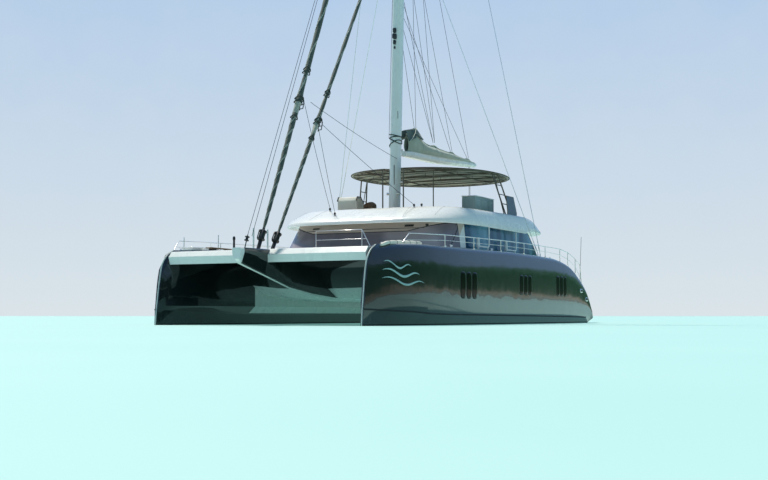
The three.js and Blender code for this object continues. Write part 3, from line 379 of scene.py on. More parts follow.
def mottled(name, light, dark, patch, gloss, dull, grain, depth, **values):
    """A finish that drifts between two colours and two roughnesses over a fine grain.

    patch and grain are the sizes of the drift and of the grain, and depth is the grain's height, in metres.
    """
    material, tree, shader, place = finish(name, **values)
    cloud = add(tree, "TexNoise", {"Vector": place, "Scale": 1 / patch, "Detail": 5.0, "Roughness": 0.6})
    tint = add(tree, "Mix", {0: cloud.outputs["Fac"], 6: linear(light), 7: linear(dark)}, data_type="RGBA")
    rough = add(tree, "MapRange", {"Value": cloud.outputs["Fac"], "From Min": 0.3, "From Max": 0.7,
                                   "To Min": gloss, "To Max": dull})
    fine = add(tree, "TexNoise", {"Vector": place, "Scale": 1 / grain, "Detail": 3.0})
    bump = add(tree, "Bump", {"Height": fine.outputs["Fac"], "Distance": depth, "Strength": 0.7})
    fill(tree, shader, {"Base Color": tint.outputs[2], "Roughness": rough.outputs["Result"],
                        "Normal": bump.outputs["Normal"]})
    return material


def hull_ring(x):
    """The points round the port hull's section at x, up the outer side and down the inner one."""
    deck, outer, inner, water, chine, draught, rake = eased(SECTIONS, x)
    knee = min(chine, 0.45 * deck)
    side = deck - knee
    edge = min(0.22, 0.35 * side)
    step = min(0.75, knee + 0.3 * side)
    bilge = [(0.3 * water, -0.97 * draught), (0.55 * water, -0.88 * draught), (0.76 * water, -0.7 * draught),
             (0.9 * water, -0.45 * draught), (water, 0)]
    outside = bilge + [(water + 0.82 * (outer - water), knee), (outer, knee + 0.12 * side)]
    for share, bulge in ((0.25, 0.6), (0.38, 0.9), (0.5, 1), (0.66, 0.8)):
        outside.append((outer + 0.02 * bulge, knee + share * side))
    for turn in range(0, 91, 15):
        c, s = math.cos(math.radians(turn)), math.sin(math.radians(turn))
        outside.append((outer * (0.75 + 0.25 * c), deck - edge * (1 - s)))
    inside = bilge + [(water + 0.1 * (inner - water), knee), (inner, step), (inner, knee + 0.55 * side)]
    for turn in range(0, 91, 30):
        c, s = math.cos(math.radians(turn)), math.sin(math.radians(turn))
        inside.append((inner * (0.94 + 0.06 * c), deck - 0.4 * edge * (1 - s)))
    loop = [(0, -draught)] + outside + [(-y, z) for y, z in reversed(inside)]
    return [(x - rake * eased(STEM, z)[0], HULL_Y + y, z) for y, z in loop]


# Polished dark gelcoat: near-black green, mirror gloss with faint ripples of the mould a metre
# long, and a veil of dried salt that thickens towards the water
hull_gelcoat, tree, shader, place = finish("polished_dark_gelcoat", ior=1.5, coat_weight=0.7,
                                           coat_roughness=0.02, coat_ior=1.5)
level = add(tree, "SeparateXYZ", {0: place}).outputs["Z"]
stretch = add(tree, "Mapping", {"Vector": place, "Scale": (1.0, 1.0, 0.12)}).outputs[0]
runs = add(tree, "TexNoise", {"Vector": stretch, "Scale": 9.0, "Detail": 4.0}).outputs["Fac"]
near_water = add(tree, "MapRange", {"Value": level, "From Min": 1.1, "From Max": 0.05,
                                    "To Min": 0.0, "To Max": 0.5}).outputs["Result"]
veil = add(tree, "Math", {0: near_water, 1: runs}, operation="MULTIPLY", use_clamp=True).outputs[0]
tint = add(tree, "Mix", {0: veil, 6: linear("#141b1b"), 7: linear("#50605c")}, data_type="RGBA")
rough = add(tree, "MapRange", {"Value": runs, "From Min": 0.3, "From Max": 0.75,
                               "To Min": 0.05, "To Max": 0.16})
ripple = add(tree, "TexNoise", {"Vector": place, "Scale": 1.1, "Detail": 2.0}).outputs["Fac"]
bump = add(tree, "Bump", {"Height": ripple, "Distance": 0.012, "Strength": 0.5}).outputs["Normal"]
fill(tree, shader, {"Base Color": tint.outputs[2], "Roughness": rough.outputs["Result"], "Normal": bump,
                    "Coat Normal": bump})

# Moulded white gelcoat: smooth and bright, slightly chalky, with soft grime and a faint orange peel
white_gelcoat = mottled("moulded_white_gelcoat", "#e8e9e7", "#dbdddb", 0.9, 0.2, 0.34, 0.03, 0.0002,
                        ior=1.5, coat_weight=0.25, coat_roughness=0.1)

# Non-skid deck: the same gelcoat moulded with a grain of 3 mm, drawn at 14 mm to show, in panels
# between smooth gutters, a little greyer where feet have been
nonskid = mottled("moulded_nonskid_gelcoat", "#e3e5e3", "#d3d6d3", 0.7, 0.5, 0.7, 0.014, 0.003, ior=1.5)
tree = nonskid.node_tree
shader = tree.nodes["Principled BSDF"]
place = add(tree, "TexCoord").outputs["Object"]
panels = add(tree, "TexBrick", {
    "Vector": place, "Scale": 1.0, "Mortar Size": 0.035, "Mortar Smooth": 0.2, "Brick Width": 1.5,
    "Row Height": 0.75, "Color1": (0, 0, 0, 1), "Color2": (0, 0, 0, 1), "Mortar": (1, 1, 1, 1),
})
between = shader.inputs["Base Color"].links[0].from_socket
gutter = add(tree, "Mix", {0: panels.outputs["Color"], 6: between, 7: linear("#eceeec")}, data_type="RGBA")
fill(tree, shader, {"Base Color": gutter.outputs[2]})

# Antifouling: soft matt blue-black paint rolled on, rubbed paler in patches
antifouling = mottled("rolled_antifouling_paint", "#1d262b", "#0f1417", 0.35, 0.7, 0.9, 0.02, 0.002,
                      ior=1.45)
finishes = [hull_gelcoat, white_gelcoat, nonskid, antifouling]
DARK, WHITE, NONSKID, BELOW = range(4)

stations = [12 - 0.2 * i for i in range(15)] + [9 - 0.45 * i for i in range(31)]
stations += [-5.1 - 0.24 * i for i in range(25)] + [-11.1, -11.23]
hull = mesh_object("hull_port_moulding", lofted([hull_ring(x) for x in stations]), hull_gelcoat)
stair = [(TREADS[0][0], STAIR_INNER, ABOVE_DECK)]
for (front, level), (aft, _) in zip(TREADS, TREADS[1:] + [(STAIR_END, 0)]):
    stair += [(front, STAIR_INNER, level), (aft, STAIR_INNER, level)]
stair.append((STAIR_END, STAIR_INNER, ABOVE_DECK))
well = extruded(stair, (0, 1, 0), STAIR_OUTER - STAIR_INNER)
cut(hull, mesh_object("stair_tool", well, hull_gelcoat))
shape = reshaped(hull)
bpy.data.objects.remove(hull)
WATER_EDGE, PALE_FROM, PALE_FOOT = 0.05, 6.75, 0.47
sliced(shape, (0, 0, WATER_EDGE), (0, 0, 1))
sliced(shape, (PALE_FROM, 0, 0), (1, 0, 0))
sliced(shape, (0, 0, PALE_FOOT), (0, 0, 1))
shape.normal_update()
for face in shape.faces:
    middle, normal = face.calc_center_median(), face.normal
    in_stair = middle.x < TREADS[0][0] + 0.01 and STAIR_INNER < middle.y < STAIR_OUTER + 0.001
    to_tunnel = normal.y < -0.3 and middle.x < PALE_FROM and middle.z > PALE_FOOT and middle.y < HULL_Y
    if middle.z < WATER_EDGE:
        face.material_index = BELOW
    elif normal.z > 0.97 and middle.z > 2.2:
        face.material_index = NONSKID
    elif in_stair and middle.z > 0.49 and (abs(normal.x) > 0.95 or normal.z > 0.9 or normal.y < -0.9):
        face.material_index = WHITE
    else:
        face.material_index = WHITE if to_tunnel else DARK
sill = painted(block((8.25, HULL_Y - 0.33, 2.9), (8.9, HULL_Y + 0.33, 3.105), 0.012), WHITE)
bearing = painted(cone(40, 0.15, 0.2, 0.5), BELOW)
bmesh.ops.translate(bearing, verts=bearing.verts, vec=(-10.15, HULL_Y, -0.31))
hull = mesh_object("hull_port_moulding", gathered(shape, sill, bearing), finishes, normals=False)
stands_for(hull, "hull_port")
stands_for(other_side(hull, "hull_starboard_moulding"), "hull_starboard")
hull_tree = BVHTree.FromBMesh(reshaped(hull))


# Teak treads
# Oiled teak planks 45 mm wide are bonded over each stern step, with black caulking between them.
# Oiled teak: warm brown going silver, grain along the planks, caulked every 120 mm so that it shows
teak, tree, shader, place = finish("oiled_teak_planks", ior=1.5)
grain = add(tree, "Mapping", {"Vector": place, "Scale": (45.0, 3.0, 12.0)}).outputs[0]
streaks = add(tree, "TexNoise", {"Vector": grain, "Scale": 1.0, "Detail": 5.0, "Roughness": 0.65})
streaks = streaks.outputs["Fac"]
wood = add(tree, "Mix", {0: streaks, 6: linear("#7d5f41"), 7: linear("#a58d6f")}, data_type="RGBA")
# Half a plank's width, in metres
PLANK = 0.06
along = add(tree, "SeparateXYZ", {0: place}).outputs["X"]
row = add(tree, "Math", {0: along, 1: PLANK}, operation="PINGPONG").outputs[0]
caulk = add(tree, "MapRange", {"Value": row, "From Min": 0.0035, "From Max": 0.006,
                               "To Min": 1.0, "To Max": 0.0}).outputs["Result"]
tint = add(tree, "Mix", {0: caulk, 6: wood.outputs[2], 7: linear("#1d1c1a")}, data_type="RGBA")
high = add(tree, "Math", {0: streaks, 1: caulk}, operation="SUBTRACT").outputs[0]
bump = add(tree, "Bump", {"Height": high, "Distance": 0.002, "Strength": 0.6})
rough = add(tree, "MapRange", {"Value": streaks, "To Min": 0.5, "To Max": 0.75})
fill(tree, shader, {"Base Color": tint.outputs[2], "Roughness": rough.outputs["Result"],
                    "Normal": bump.outputs["Normal"]})

TREAD_LIFT = 0.008
boards = []
for (front, level), (aft, _) in zip(TREADS, TREADS[1:] + [(-11.05, 0)]):
    low = (aft + 0.04, STAIR_INNER + 0.24, level)
    boards.append(block(low, (front - 0.03, STAIR_OUTER - 0.04, level + TREAD_LIFT), 0.003, 1))
on_both_sides(mesh_object("stern_treads_port", gathered(*boards), teak))


# Hull windows
# Long dark panes of toughened glass are bonded flush into the topsides, in three groups of three
# upright lights a side, each with a thin black seal.
# Tinted bonded glass: blue-black, almost a mirror, with a trace of water marks
tinted_glass = mottled("tinted_bonded_glass", "#020303", "#050708", 0.5, 0.04, 0.1, 0.4, 0.0001, ior=1.25)
# Black rubber seal: dull and slightly bloomed
rubber = mottled("black_rubber_seal", "#141515", "#1f2120", 0.1, 0.5, 0.7, 0.01, 0.0004)


def slid(shape, *, to=(0, 0, 0), turn=None):
    """The bmesh turned by a matrix and then moved."""
    if turn is not None:
        bmesh.ops.transform(shape, matrix=turn.to_4x4(), verts=shape.verts)
    bmesh.ops.translate(shape, vec=Vector(to), verts=shape.verts)
    return shape


def plate(width, height, radius, thick, soft=0.0):
    """A bmesh plate in the XY plane with round corners, from z 0 up to its thickness."""
    shape = bmesh.new()
    bmesh.ops.create_grid(shape, x_segments=1, y_segments=1, size=0.5)
    bmesh.ops.scale(shape, vec=(width, height, 1), verts=shape.verts)
    bmesh.ops.bevel(shape, geom=shape.verts[:], offset=radius, segments=5, profile=0.5, affect="VERTICES",
                    clamp_overlap=True, material=-1)
    top = pushed(shape, shape.faces[:], (0, 0, thick))
    bmesh.ops.recalc_face_normals(shape, faces=shape.faces)
    if soft:
        rim = [edge for edge in shape.edges if all(vert in top for vert in edge.verts)]
        bmesh.ops.bevel(shape, geom=rim, offset=soft, segments=2, profile=0.5, affect="EDGES", material=-1)
    return shape


def facing(normal, up=(0, 0, 1)):
    """The turn that lays a plate's face along a normal, its height along up."""
    z = Vector(normal).normalized()
    x = Vector(up).cross(z).normalized()
    return Matrix((x, z.cross(x), z)).transposed()


def topside(x, z):
    """The point of the port hull's outer side at x and z, and its normal there."""
    point, normal, _, _ = hull_tree.ray_cast(Vector((x, 9, z)), Vector((0, -1, 0)))
    return point, normal


# Columns: aft end, forward end, foot and head of each group of three lights
LIGHTS = [(4.3, 6.0, 1.06, 2.1), (-2.0, -0.4, 1.3, 2.15), (-6.9, -5.3, 1.3, 2.25)]
panes, seals = [], []
for aft, front, foot, head in LIGHTS:
    wide = (front - aft) / 3
    for k in range(3):
        for parts, spare, lift in ((seals, 0.02, 0.004), (panes, 0, 0.008)):
            light = bmesh.new()
            bmesh.ops.create_grid(light, x_segments=10, y_segments=24, size=1)
            for vert in light.verts:
                u, v = vert.co.x, vert.co.y
                x = aft + wide * (k + 0.5) + (wide / 2 - 0.06 + spare) * u * (1 - 0.35 * v ** 8)
                z = (foot + head) / 2 + ((head - foot) / 2 + spare) * v * (1 - 0.04 * u ** 6)
                point, normal = topside(x, z)
                vert.co = point + normal * lift
            parts.append(light)
for name, parts, material in (("hull_windows", panes, tinted_glass), ("hull_window_seals", seals, rubber)):
    lights = mesh_object(name + "_port", gathered(*parts), material)
    lights.modifiers.new("pane", "SOLIDIFY").thickness = 0.012
    on_both_sides(worked(lights))


# Chine shadow, stem highlight and bow waves
# A black strip along the crease just above the waterline paints the shadow under the chine, and a pale
# strip up the stem paints the highlight on its rounded edge. On each bow three slim, tapered wave lines
# in pale aqua vinyl decorate the dark gelcoat.
def tubes(name, paths, radius, material, closed=False, sides=3):
    """Round bars or ropes along paths of points, as one mesh object."""
    data = bpy.data.curves.new(name, "CURVE")
    data.dimensions = "3D"
    data.bevel_depth = radius
    data.bevel_resolution = sides
    data.use_fill_caps = not closed
    for path in paths:
        spline = data.splines.new("POLY")
        spline.points.add(len(path) - 1)
        for point, at in zip(spline.points, path):
            point.co = (*at, 1)
        spline.use_cyclic_u = closed
        spline.use_smooth = True
    data.materials.append(material)
    curve = bpy.data.objects.new(name + "_path", data)
    bpy.context.scene.collection.objects.link(curve)
    mesh = bpy.data.meshes.new_from_object(curve.evaluated_get(bpy.context.evaluated_depsgraph_get()))
    bpy.data.objects.remove(curve)
    mesh.name = name
    mesh.set_sharp_from_angle(angle=math.radians(50))
    piece = bpy.data.objects.new(name, mesh)
    bpy.context.scene.collection.objects.link(piece)
    return piece


def both_sides(paths):
    """The paths and their mirror images to starboard."""
    return [list(path) for path in paths] + [[(x, -y, z) for x, y, z in path] for path in paths]


# Painted shadow: a black tube along the chine stands for the shade under its crease.
chine = []
for x in [12 - 0.3 * i for i in range(75)]:
    _, outer, _, water, knee, _, rake = eased(SECTIONS, x)
    reach = x - rake * eased(STEM, knee)[0]
    chine.append((reach, HULL_Y + water + 0.82 * (outer - water) - 0.02, knee + 0.005))
belongs(tubes("chine_painted_shadow", both_sides([chine]), 0.036, rubber))
# Painted highlight: a pale grey strip up the stem stands for the light caught on its rounded edge; dull, a
# little chalky
stem_painted_highlight = mottled("pale_strip_painted_highlight", "#c9cfcc", "#b4bcb9", 0.3, 0.35, 0.5, 0.02, 0.0008)
stem = [(11.986 - eased(STEM, z)[0], HULL_Y, z) for z in [-0.1 + 0.08 * i for i in range(39)]]
belongs(tubes("stem_painted_highlight_strips", both_sides([stem]), 0.028, stem_painted_highlight))

# Pale aqua vinyl film: smooth and faintly sheened
aqua_film = mottled("pale_aqua_vinyl_film", "#a9c9c6", "#93b7b5", 0.3, 0.25, 0.4, 0.01, 0.0002)
waves = []
for low, start, stop, tall in ((1.52, 8.9, 11.2, 0.075), (1.82, 9.2, 11.15, 0.09), (2.12, 9.7, 11.05, 0.07)):
    ribbon = bmesh.new()
    bmesh.ops.create_grid(ribbon, x_segments=70, y_segments=2, size=0.5)
    for vert in ribbon.verts:
        share, across = vert.co.x + 0.5, vert.co.y * 2
        x = start + (stop - start) * share
        z = low + 0.1 * math.sin(2 * math.pi * 1.35 * share + 0.6) + 0.16 * share
        point, normal = topside(x, z + across * 0.5 * tall * math.sin(math.pi * share) ** 0.7)
        vert.co = point + normal * 0.003
    waves.append(ribbon)
film = mesh_object("bow_waves_port", gathered(*waves), aqua_film)
film.modifiers.new("film", "SOLIDIFY").thickness = 0.002
on_both_sides(worked(film))


# Cleats and fairleads
# Cast and polished stainless horn cleats stand on the hull decks. An oval fairlead with a dark mouth is
# let into each quarter.
# Polished stainless steel: bright, with fine streaks from the polishing wheel
stainless = mottled("polished_stainless_steel", "#efece6", "#dedcd7", 0.12, 0.24, 0.4, 0.01, 0.0003,
                    metallic=1.0)


def horn_cleat(x, y, z):
    """A bmesh cleat 0.3 m long: two posts and a bar that tapers into its horns."""
    bar = bmesh.new()
    bmesh.ops.create_uvsphere(bar, u_segments=16, v_segments=12, radius=1)
    bmesh.ops.scale(bar, vec=(0.16, 0.022, 0.017), verts=bar.verts)
    posts = [slid(cone(16, 0.03, 0.014, 0.07), to=(side, 0, -0.035)) for side in (-0.045, 0.045)]
    return slid(gathered(bar, *posts), to=(x, y, z + 0.07))


def deck_height(x, y):
    """The height of the port hull's deck at x and y."""
    return hull_tree.ray_cast(Vector((x, y, 6)), Vector((0, 0, -1)))[0].z


CLEATS = [(10.4, 4.55), (6.0, 5.35), (1.9, 5.4), (-5.6, 5.35)]
cleats = [horn_cleat(x, y, deck_height(x, y)) for x, y in CLEATS]
on_both_sides(mesh_object("deck_cleats_port", gathered(*cleats), stainless))
leads = []
for x, z in ((-9.25, 1.62), (-10.15, 1.2)):
    point, normal = topside(x, z)
    ring, mouth = plate(0.46, 0.2, 0.1, 0.014, 0.005), painted(plate(0.36, 0.11, 0.054, 0.018), 1)
    leads.append(slid(gathered(ring, mouth), to=point - normal * 0.006, turn=facing(normal)))
on_both_sides(mesh_object("fairleads_port", gathered(*leads), [stainless, rubber]))


# Keels, rudders, shafts and propellers
# Stub keels and spade rudders are moulded and painted with antifouling. Shafts, struts and the
# four-bladed propellers are cast bronze.
def merged(node):
    """A bmesh of a CAD node's own mesh with its doubled points joined."""
    shape = reshaped(NODES[node])
    bmesh.ops.remove_doubles(shape, verts=shape.verts, dist=WELD)
    return shape


def dressed(node, materials, bevel=0.0, sharp=30, zone=None):
    """A CAD node's own shape again, merged, its edges softened, in its real finish."""
    shape = merged(node)
    bmesh.ops.dissolve_limit(shape, angle_limit=math.radians(0.8), verts=shape.verts, edges=shape.edges)
    if bevel:
        corners = [edge for edge in shape.edges
                   if len(edge.link_faces) == 2 and edge.calc_face_angle(0) > 0.6]
        bmesh.ops.bevel(shape, geom=corners, offset=bevel, segments=2, profile=0.5, affect="EDGES",
                        clamp_overlap=True, material=-1)
    shape.normal_update()
    if zone:
        for face in shape.faces:
            face.material_index = zone(face.calc_center_median(), face.normal)
    piece = mesh_object(node + "_dressed", shape, materials, sharp, normals=False)
    if bevel:
        piece.modifiers.new("even_shading", "WEIGHTED_NORMAL").keep_sharp = True
    return stands_for(piece, node)


# Cast bronze: warm, satin, browned in the lee of the blades
bronze = mottled("cast_bronze", "#b08a4c", "#7c6138", 0.08, 0.28, 0.5, 0.006, 0.0006, metallic=1.0)
for side in ("port", "starboard"):
    dressed("keel_" + side, antifouling)
    dressed("rudder_" + side, antifouling)
    dressed("propeller_shaft_" + side, bronze)
    dressed("propeller_" + side, bronze)


# Bridgedeck, foredeck, spine and beam
# White moulded decks join the hulls. The deep spine carries the forestays to the nose, its sides
# sprayed dark like the hulls, and a white box beam ties the bows together.
def deck_zone(middle, normal):
    """Dark gelcoat on the foredeck's front, teak on the soles and non-skid on the other flat faces."""
    if normal.x > 0.55 and middle.z < 3.0 and middle.x > 3:
        return 2
    if normal.z > 0.95:
        return 3 if middle.z < 2.0 and middle.x < 4.2 else 1
    return 0


def spine_zone(middle, normal):
    """Dark gelcoat on the spine's sides short of the nose, and non-skid on its top."""
    if abs(normal.y) > 0.7 and middle.x < 12.9:
        return 2
    return int(normal.z > 0.97)


decking = [white_gelcoat, nonskid, hull_gelcoat, teak]
for node in ("bridgedeck", "foredeck"):
    dressed(node, decking, 0.012, zone=deck_zone)
dressed("centre_spine", decking[:3], 0.012, sharp=40, zone=spine_zone)
dressed("front_beam", white_gelcoat, 0.018)


# Trampolines
# Black polyester netting is stretched between the beam, the spine, the bows and the foredeck, hemmed
# with a rope and laced to them all round.

# The bands of a wave texture of scale 1 lie this far apart, in metres
WAVE_RUN = 0.314


def crossed(tree, place, apart, axes, join="MAXIMUM", **inputs):
    """The height of threads that lie a distance apart, in metres, and cross along axes."""
    height = None
    for axis in axes:
        links = {"Vector": place, "Scale": WAVE_RUN / apart, **inputs}
        wave = add(tree, "TexWave", links, bands_direction=axis).outputs["Fac"]
        height = add(tree, "Math", {0: height, 1: wave}, operation=join).outputs[0] if height else wave
    return height


# Woven polyester netting: matt black, its threads 4 mm apart drawn at 30 mm so that they show
netting, tree, shader, place = finish("woven_polyester_netting", roughness=0.85, sheen_weight=0.3)
cross = crossed(tree, place, 0.03, "XY", Distortion=0.4, Detail=1.0)
tint = add(tree, "Mix", {0: cross, 6: linear("#0b0d0e"), 7: linear("#33383a")}, data_type="RGBA")
bump = add(tree, "Bump", {"Height": cross, "Distance": 0.004, "Strength": 0.8})
fill(tree, shader, {"Base Color": tint.outputs[2], "Normal": bump.outputs["Normal"]})
# White braided polyester rope, greyed by salt
rope_white = mottled("braided_polyester_rope", "#d9d8cf", "#b4b4ab", 0.05, 0.7, 0.85, 0.01, 0.002)

net_low, net_high = (Vector(corner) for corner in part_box("trampoline_port"))
middle, size = (net_low + net_high) / 2, net_high - net_low
prism = merged("trampoline_port")
for vert in prism.verts:
    vert.co.z += 0.3 if vert.co.z > middle.z else -0.3
tool = mesh_object("net_tool", prism, netting, normals=False)
shape = bmesh.new()
bmesh.ops.create_grid(shape, x_segments=34, y_segments=40, size=0.5)
for vert in shape.verts:
    u, v = vert.co.x * 2, vert.co.y * 2
    sag = 0.06 * (1 - min(u * u, 1)) * (1 - min(v * v, 1))
    vert.co = (middle.x + u * (size.x / 2 + 0.02), middle.y + v * (size.y / 2 + 0.02), net_high.z - sag)
pushed(shape, shape.faces[:], (0, 0, -0.004))
net = cut(mesh_object("trampoline_net_port", shape, netting), tool, "INTERSECT")
stands_for(net, "trampoline_port")
net_twin = stands_for(other_side(net, "trampoline_net_starboard"), "trampoline_starboard")

shape = merged("trampoline_port")
upper = [edge for edge in shape.edges if edge.calc_face_angle(0) > 1
         and all(vert.co.z > net_high.z - 0.001 for vert in edge.verts)]
path = [upper[0].verts[0], upper[0].verts[1]]
while path[-1] is not path[0]:
    step = next(edge for edge in upper if path[-1] in edge.verts and path[-2] not in edge.verts)
    path.append(step.other_vert(path[-1]))
outline = [vert.co.copy() for vert in path[:-1]]
shape.free()
centre = sum(outline, Vector()) / len(outline)
hem, lacing = [], []
for start, stop in zip(outline, outline[1:] + outline[:1]):
    steps = max(int((stop - start).length / 0.16), 1)
    for k in range(steps):
        on_rim = start.lerp(stop, k / steps)
        inward = (centre - on_rim).normalized()
        hem.append(on_rim + inward * 0.07 + Vector((0, 0, 0.004)))
        lacing.append(on_rim + inward * (0.004 if k % 2 else 0.085) + Vector((0, 0, 0.008)))
belongs(tubes("trampoline_hems", both_sides([hem]), 0.011, netting, closed=True))
belongs(tubes("trampoline_lacing", both_sides([lacing]), 0.005, rope_white, closed=True))


# Coachroof
# One white moulded shell covers the salon. It rolls over the windscreen as a broad brow, carries the
# flybridge with its teak floor inside a low coaming, and holds the mast step.
# Columns: bow end, stern end, half width, height, share of the aft lift and of the aft drop
ROOF_RINGS = [
    (3.65, -8.9, 3.95, 4.45, 0, 0), (4.25, -9.2, 4.33, 4.36, 0.5, 0), (4.43, -9.37, 4.47, 4.285, 1, 0),
    (4.46, -9.4, 4.5, 4.32, 1, 0), (4.43, -9.39, 4.5, 4.42, 0.9, 0.1), (4.13, -9.35, 4.46, 4.62, 0.3, 0.5),
    (3.6, -9.28, 4.37, 4.85, 0, 0.85), (3.15, -9.18, 4.25, 5.02, 0, 1), (2.9, -9.08, 4.15, 5.07, 0, 1),
    (2.65, -8.95, 4.04, 5.04, 0, 1), (2.52, -8.88, 3.95, 4.7, 0, 0),
]
ROOF_WIDEST, ROOF_POWER = -2.2, 4.4


def rising(low, high, x):
    """A smooth step from 0 at low to 1 at high."""
    t = min(max((x - low) / (high - low), 0), 1)
    return t * t * (3 - 2 * t)


def swelled(share, power):
    """A sine or cosine raised to a power, its sign kept, which squares or thins an oval."""
    return math.copysign(abs(share) ** power, share)


def angles(count):
    """Angles spaced evenly round a circle."""
    return [2 * math.pi * k / count for k in range(count)]


def roof_point(angle, row):
    """The roof's point at an angle round one of its rings."""
    front, aft, half, height, lift, drop = row
    c, s = math.cos(angle), math.sin(angle)
    reach = front - ROOF_WIDEST if c > 0 else ROOF_WIDEST - aft
    x = ROOF_WIDEST + reach * swelled(c, 2 / ROOF_POWER)
    fall = 0.32 * (1 - rising(-8.6, -5.6, x)) - 0.06 * (1 - rising(-4, 0, x))
    z = height + 0.15 * lift * (1 - rising(-5.6, -4.6, x)) - drop * fall
    return (x, half * swelled(s, 2 / ROOF_POWER), z)


# The moulding's points lie evenly along its rim, found among many close ones
dense = [2 * math.pi * k / 4000 for k in range(4001)]
outline = [Vector(roof_point(a, ROOF_RINGS[4])) for a in dense]
run = [0]
for near, far in zip(outline, outline[1:]):
    run.append(run[-1] + (far - near).length)
spread = [dense[bisect.bisect_left(run, run[-1] * k / 180)] for k in range(180)]
steps = [(k, *row) for k, row in enumerate(ROOF_RINGS)]
shape = lofted([[roof_point(a, eased(steps, k / 5)) for a in spread] for k in range(51)])
for face in shape.faces:
    face.material_index = int(len(face.verts) > 8 and face.calc_center_median().z > 4.6)
roof_tree = BVHTree.FromBMesh(shape)
shelf = []
for z, cut_back in ((4.6, 0.0), (4.99, 0.04), (5.05, 0.08)):
    shelf.append([(0.41 + (0.62 - cut_back) * swelled(math.cos(a), 0.83),
                   (0.42 - cut_back) * swelled(math.sin(a), 0.83), z) for a in angles(48)])
moulding = mesh_object("coachroof_moulding", gathered(shape, lofted(shelf)), [white_gelcoat, teak], 45)
stands_for(moulding, "coachroof")

# Grey sealant in the mould's joints: a thin matt line
sealant = mottled("grey_joint_sealant", "#8d918f", "#757a79", 0.2, 0.6, 0.75, 0.01, 0.0004)


def over_roof(x, y, lift=0.0):
    """The point on the coachroof's outer skin above x and y."""
    return roof_tree.ray_cast(Vector((x, y, 6.5)), Vector((0, 0, -1)))[0] + Vector((0, 0, lift))


def draped(points, lift, steps=14):
    """A path laid over the roof through plan points."""
    path = []
    for (x0, y0), (x1, y1) in zip(points, points[1:]):
        for k in range(steps):
            t = k / steps
            path.append(over_roof(x0 + (x1 - x0) * t, y0 + (y1 - y0) * t, lift))
    return path + [over_roof(*points[-1], lift)]


JOINTS = [[(2.2, 3.39), (3.55, 3.5)], [(2.4, 1.96), (4.2, 2.3)],
          [(2.4, -1.96), (4.2, -2.3)], [(2.2, -3.39), (3.55, -3.5)]]
joints = [draped(line, 0.001) for line in JOINTS]
belongs(tubes("brow_joints", joints, 0.005, sealant))


# Salon walls and glass
# White moulded walls hold a raked windscreen and long side glass, bonded flush between hidden
# mullions. A black ceramic border runs round each pane.
# Painted shade over the windscreen: the white header is coloured warm grey-beige, satin, for the shade under
# the brow
header_painted_shade = mottled("warm_grey_header_paint", "#cfc0b6", "#bcaea4", 0.5, 0.35, 0.5, 0.02, 0.0006)
# The front wall above 4 m takes the header's painted shade.
dressed("salon_front_wall", [white_gelcoat, header_painted_shade], sharp=25,
        zone=lambda middle, normal: int(middle.z > 4.0))
for node in ("salon_side_wall_port", "salon_side_wall_starboard", "salon_aft_wall"):
    dressed(node, white_gelcoat, sharp=25)


# Salon glass: mirror surface with faint vertical wipe marks. Its colour is painted reflection: mauve-grey
# in the windscreen and teal at the sides, paler and darker from pane to pane as a painted view of the
# rooms behind it
def painted_reflection_pane(name, light, dark):
    """A glass finish whose painted reflection drifts between two tints from pane to pane."""
    material, tree, shader, place = finish(name, ior=1.4)
    wiped = add(tree, "Mapping", {"Vector": place, "Scale": (1.0, 1.0, 0.2)})
    marks = add(tree, "TexNoise", {"Vector": wiped.outputs[0], "Scale": 2.5, "Detail": 3.0})
    rooms = add(tree, "TexNoise", {"Vector": wiped.outputs[0], "Scale": 0.75, "Detail": 1.0})
    share = add(tree, "MapRange", {"Value": rooms.outputs["Fac"], "From Min": 0.38, "From Max": 0.6})
    share = share.outputs["Result"]
    tint = add(tree, "Mix", {0: share, 6: linear(light), 7: linear(dark)}, data_type="RGBA")
    rough = add(tree, "MapRange", {"Value": marks.outputs["Fac"], "To Min": 0.02, "To Max": 0.09})
    fill(tree, shader, {"Base Color": tint.outputs[2], "Roughness": rough.outputs["Result"]})
    return material


windscreen_glass = painted_reflection_pane("mauve_windscreen_glass", "#9f979d", "#77707a")
side_glass = painted_reflection_pane("teal_side_glass", "#6b9db4", "#1f4d68")

BORDER = 0.05
GLAZED = ("salon_front_glass", "salon_side_glass_port", "salon_side_glass_starboard", "salon_aft_glass",
          "salon_door")
for node in GLAZED:
    shape = merged(node)
    bmesh.ops.dissolve_limit(shape, angle_limit=math.radians(0.5), verts=shape.verts, edges=shape.edges)
    low, high = (Vector(corner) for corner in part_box(node))
    if node == "salon_door":
        low, high = low + Vector((0, BORDER, BORDER)), high - Vector((0, BORDER, BORDER))
        for corner in (low, high):
            sliced(shape, corner, (0, 1, 0))
            sliced(shape, corner, (0, 0, 1))
        border = [face for face in shape.faces
                  if any(not low[k] < face.calc_center_median()[k] < high[k] for k in (1, 2))]
    else:
        heart = (low + high) / 2
        if node == "salon_front_glass":
            heart.x -= 3
        out = [face for face in shape.faces if abs(face.normal.z) < 0.85 and face.calc_area() > 0.004
               and face.normal.dot(face.calc_center_median() - heart) > 0]
        if node == "salon_front_glass":
            out = [face for face in out if face.normal.x > 0.2]
        elif node.startswith("salon_side"):
            out = [face for face in out if abs(face.normal.y) > 0.8]
        border = bmesh.ops.inset_region(shape, faces=out, thickness=BORDER, depth=0.0, use_even_offset=True)
        border = border["faces"]
    for face in border:
        face.material_index = 1
    tint = windscreen_glass if node == "salon_front_glass" else side_glass
    stands_for(mesh_object(node + "_bonded", shape, [tint, rubber], 25, normals=False), node)


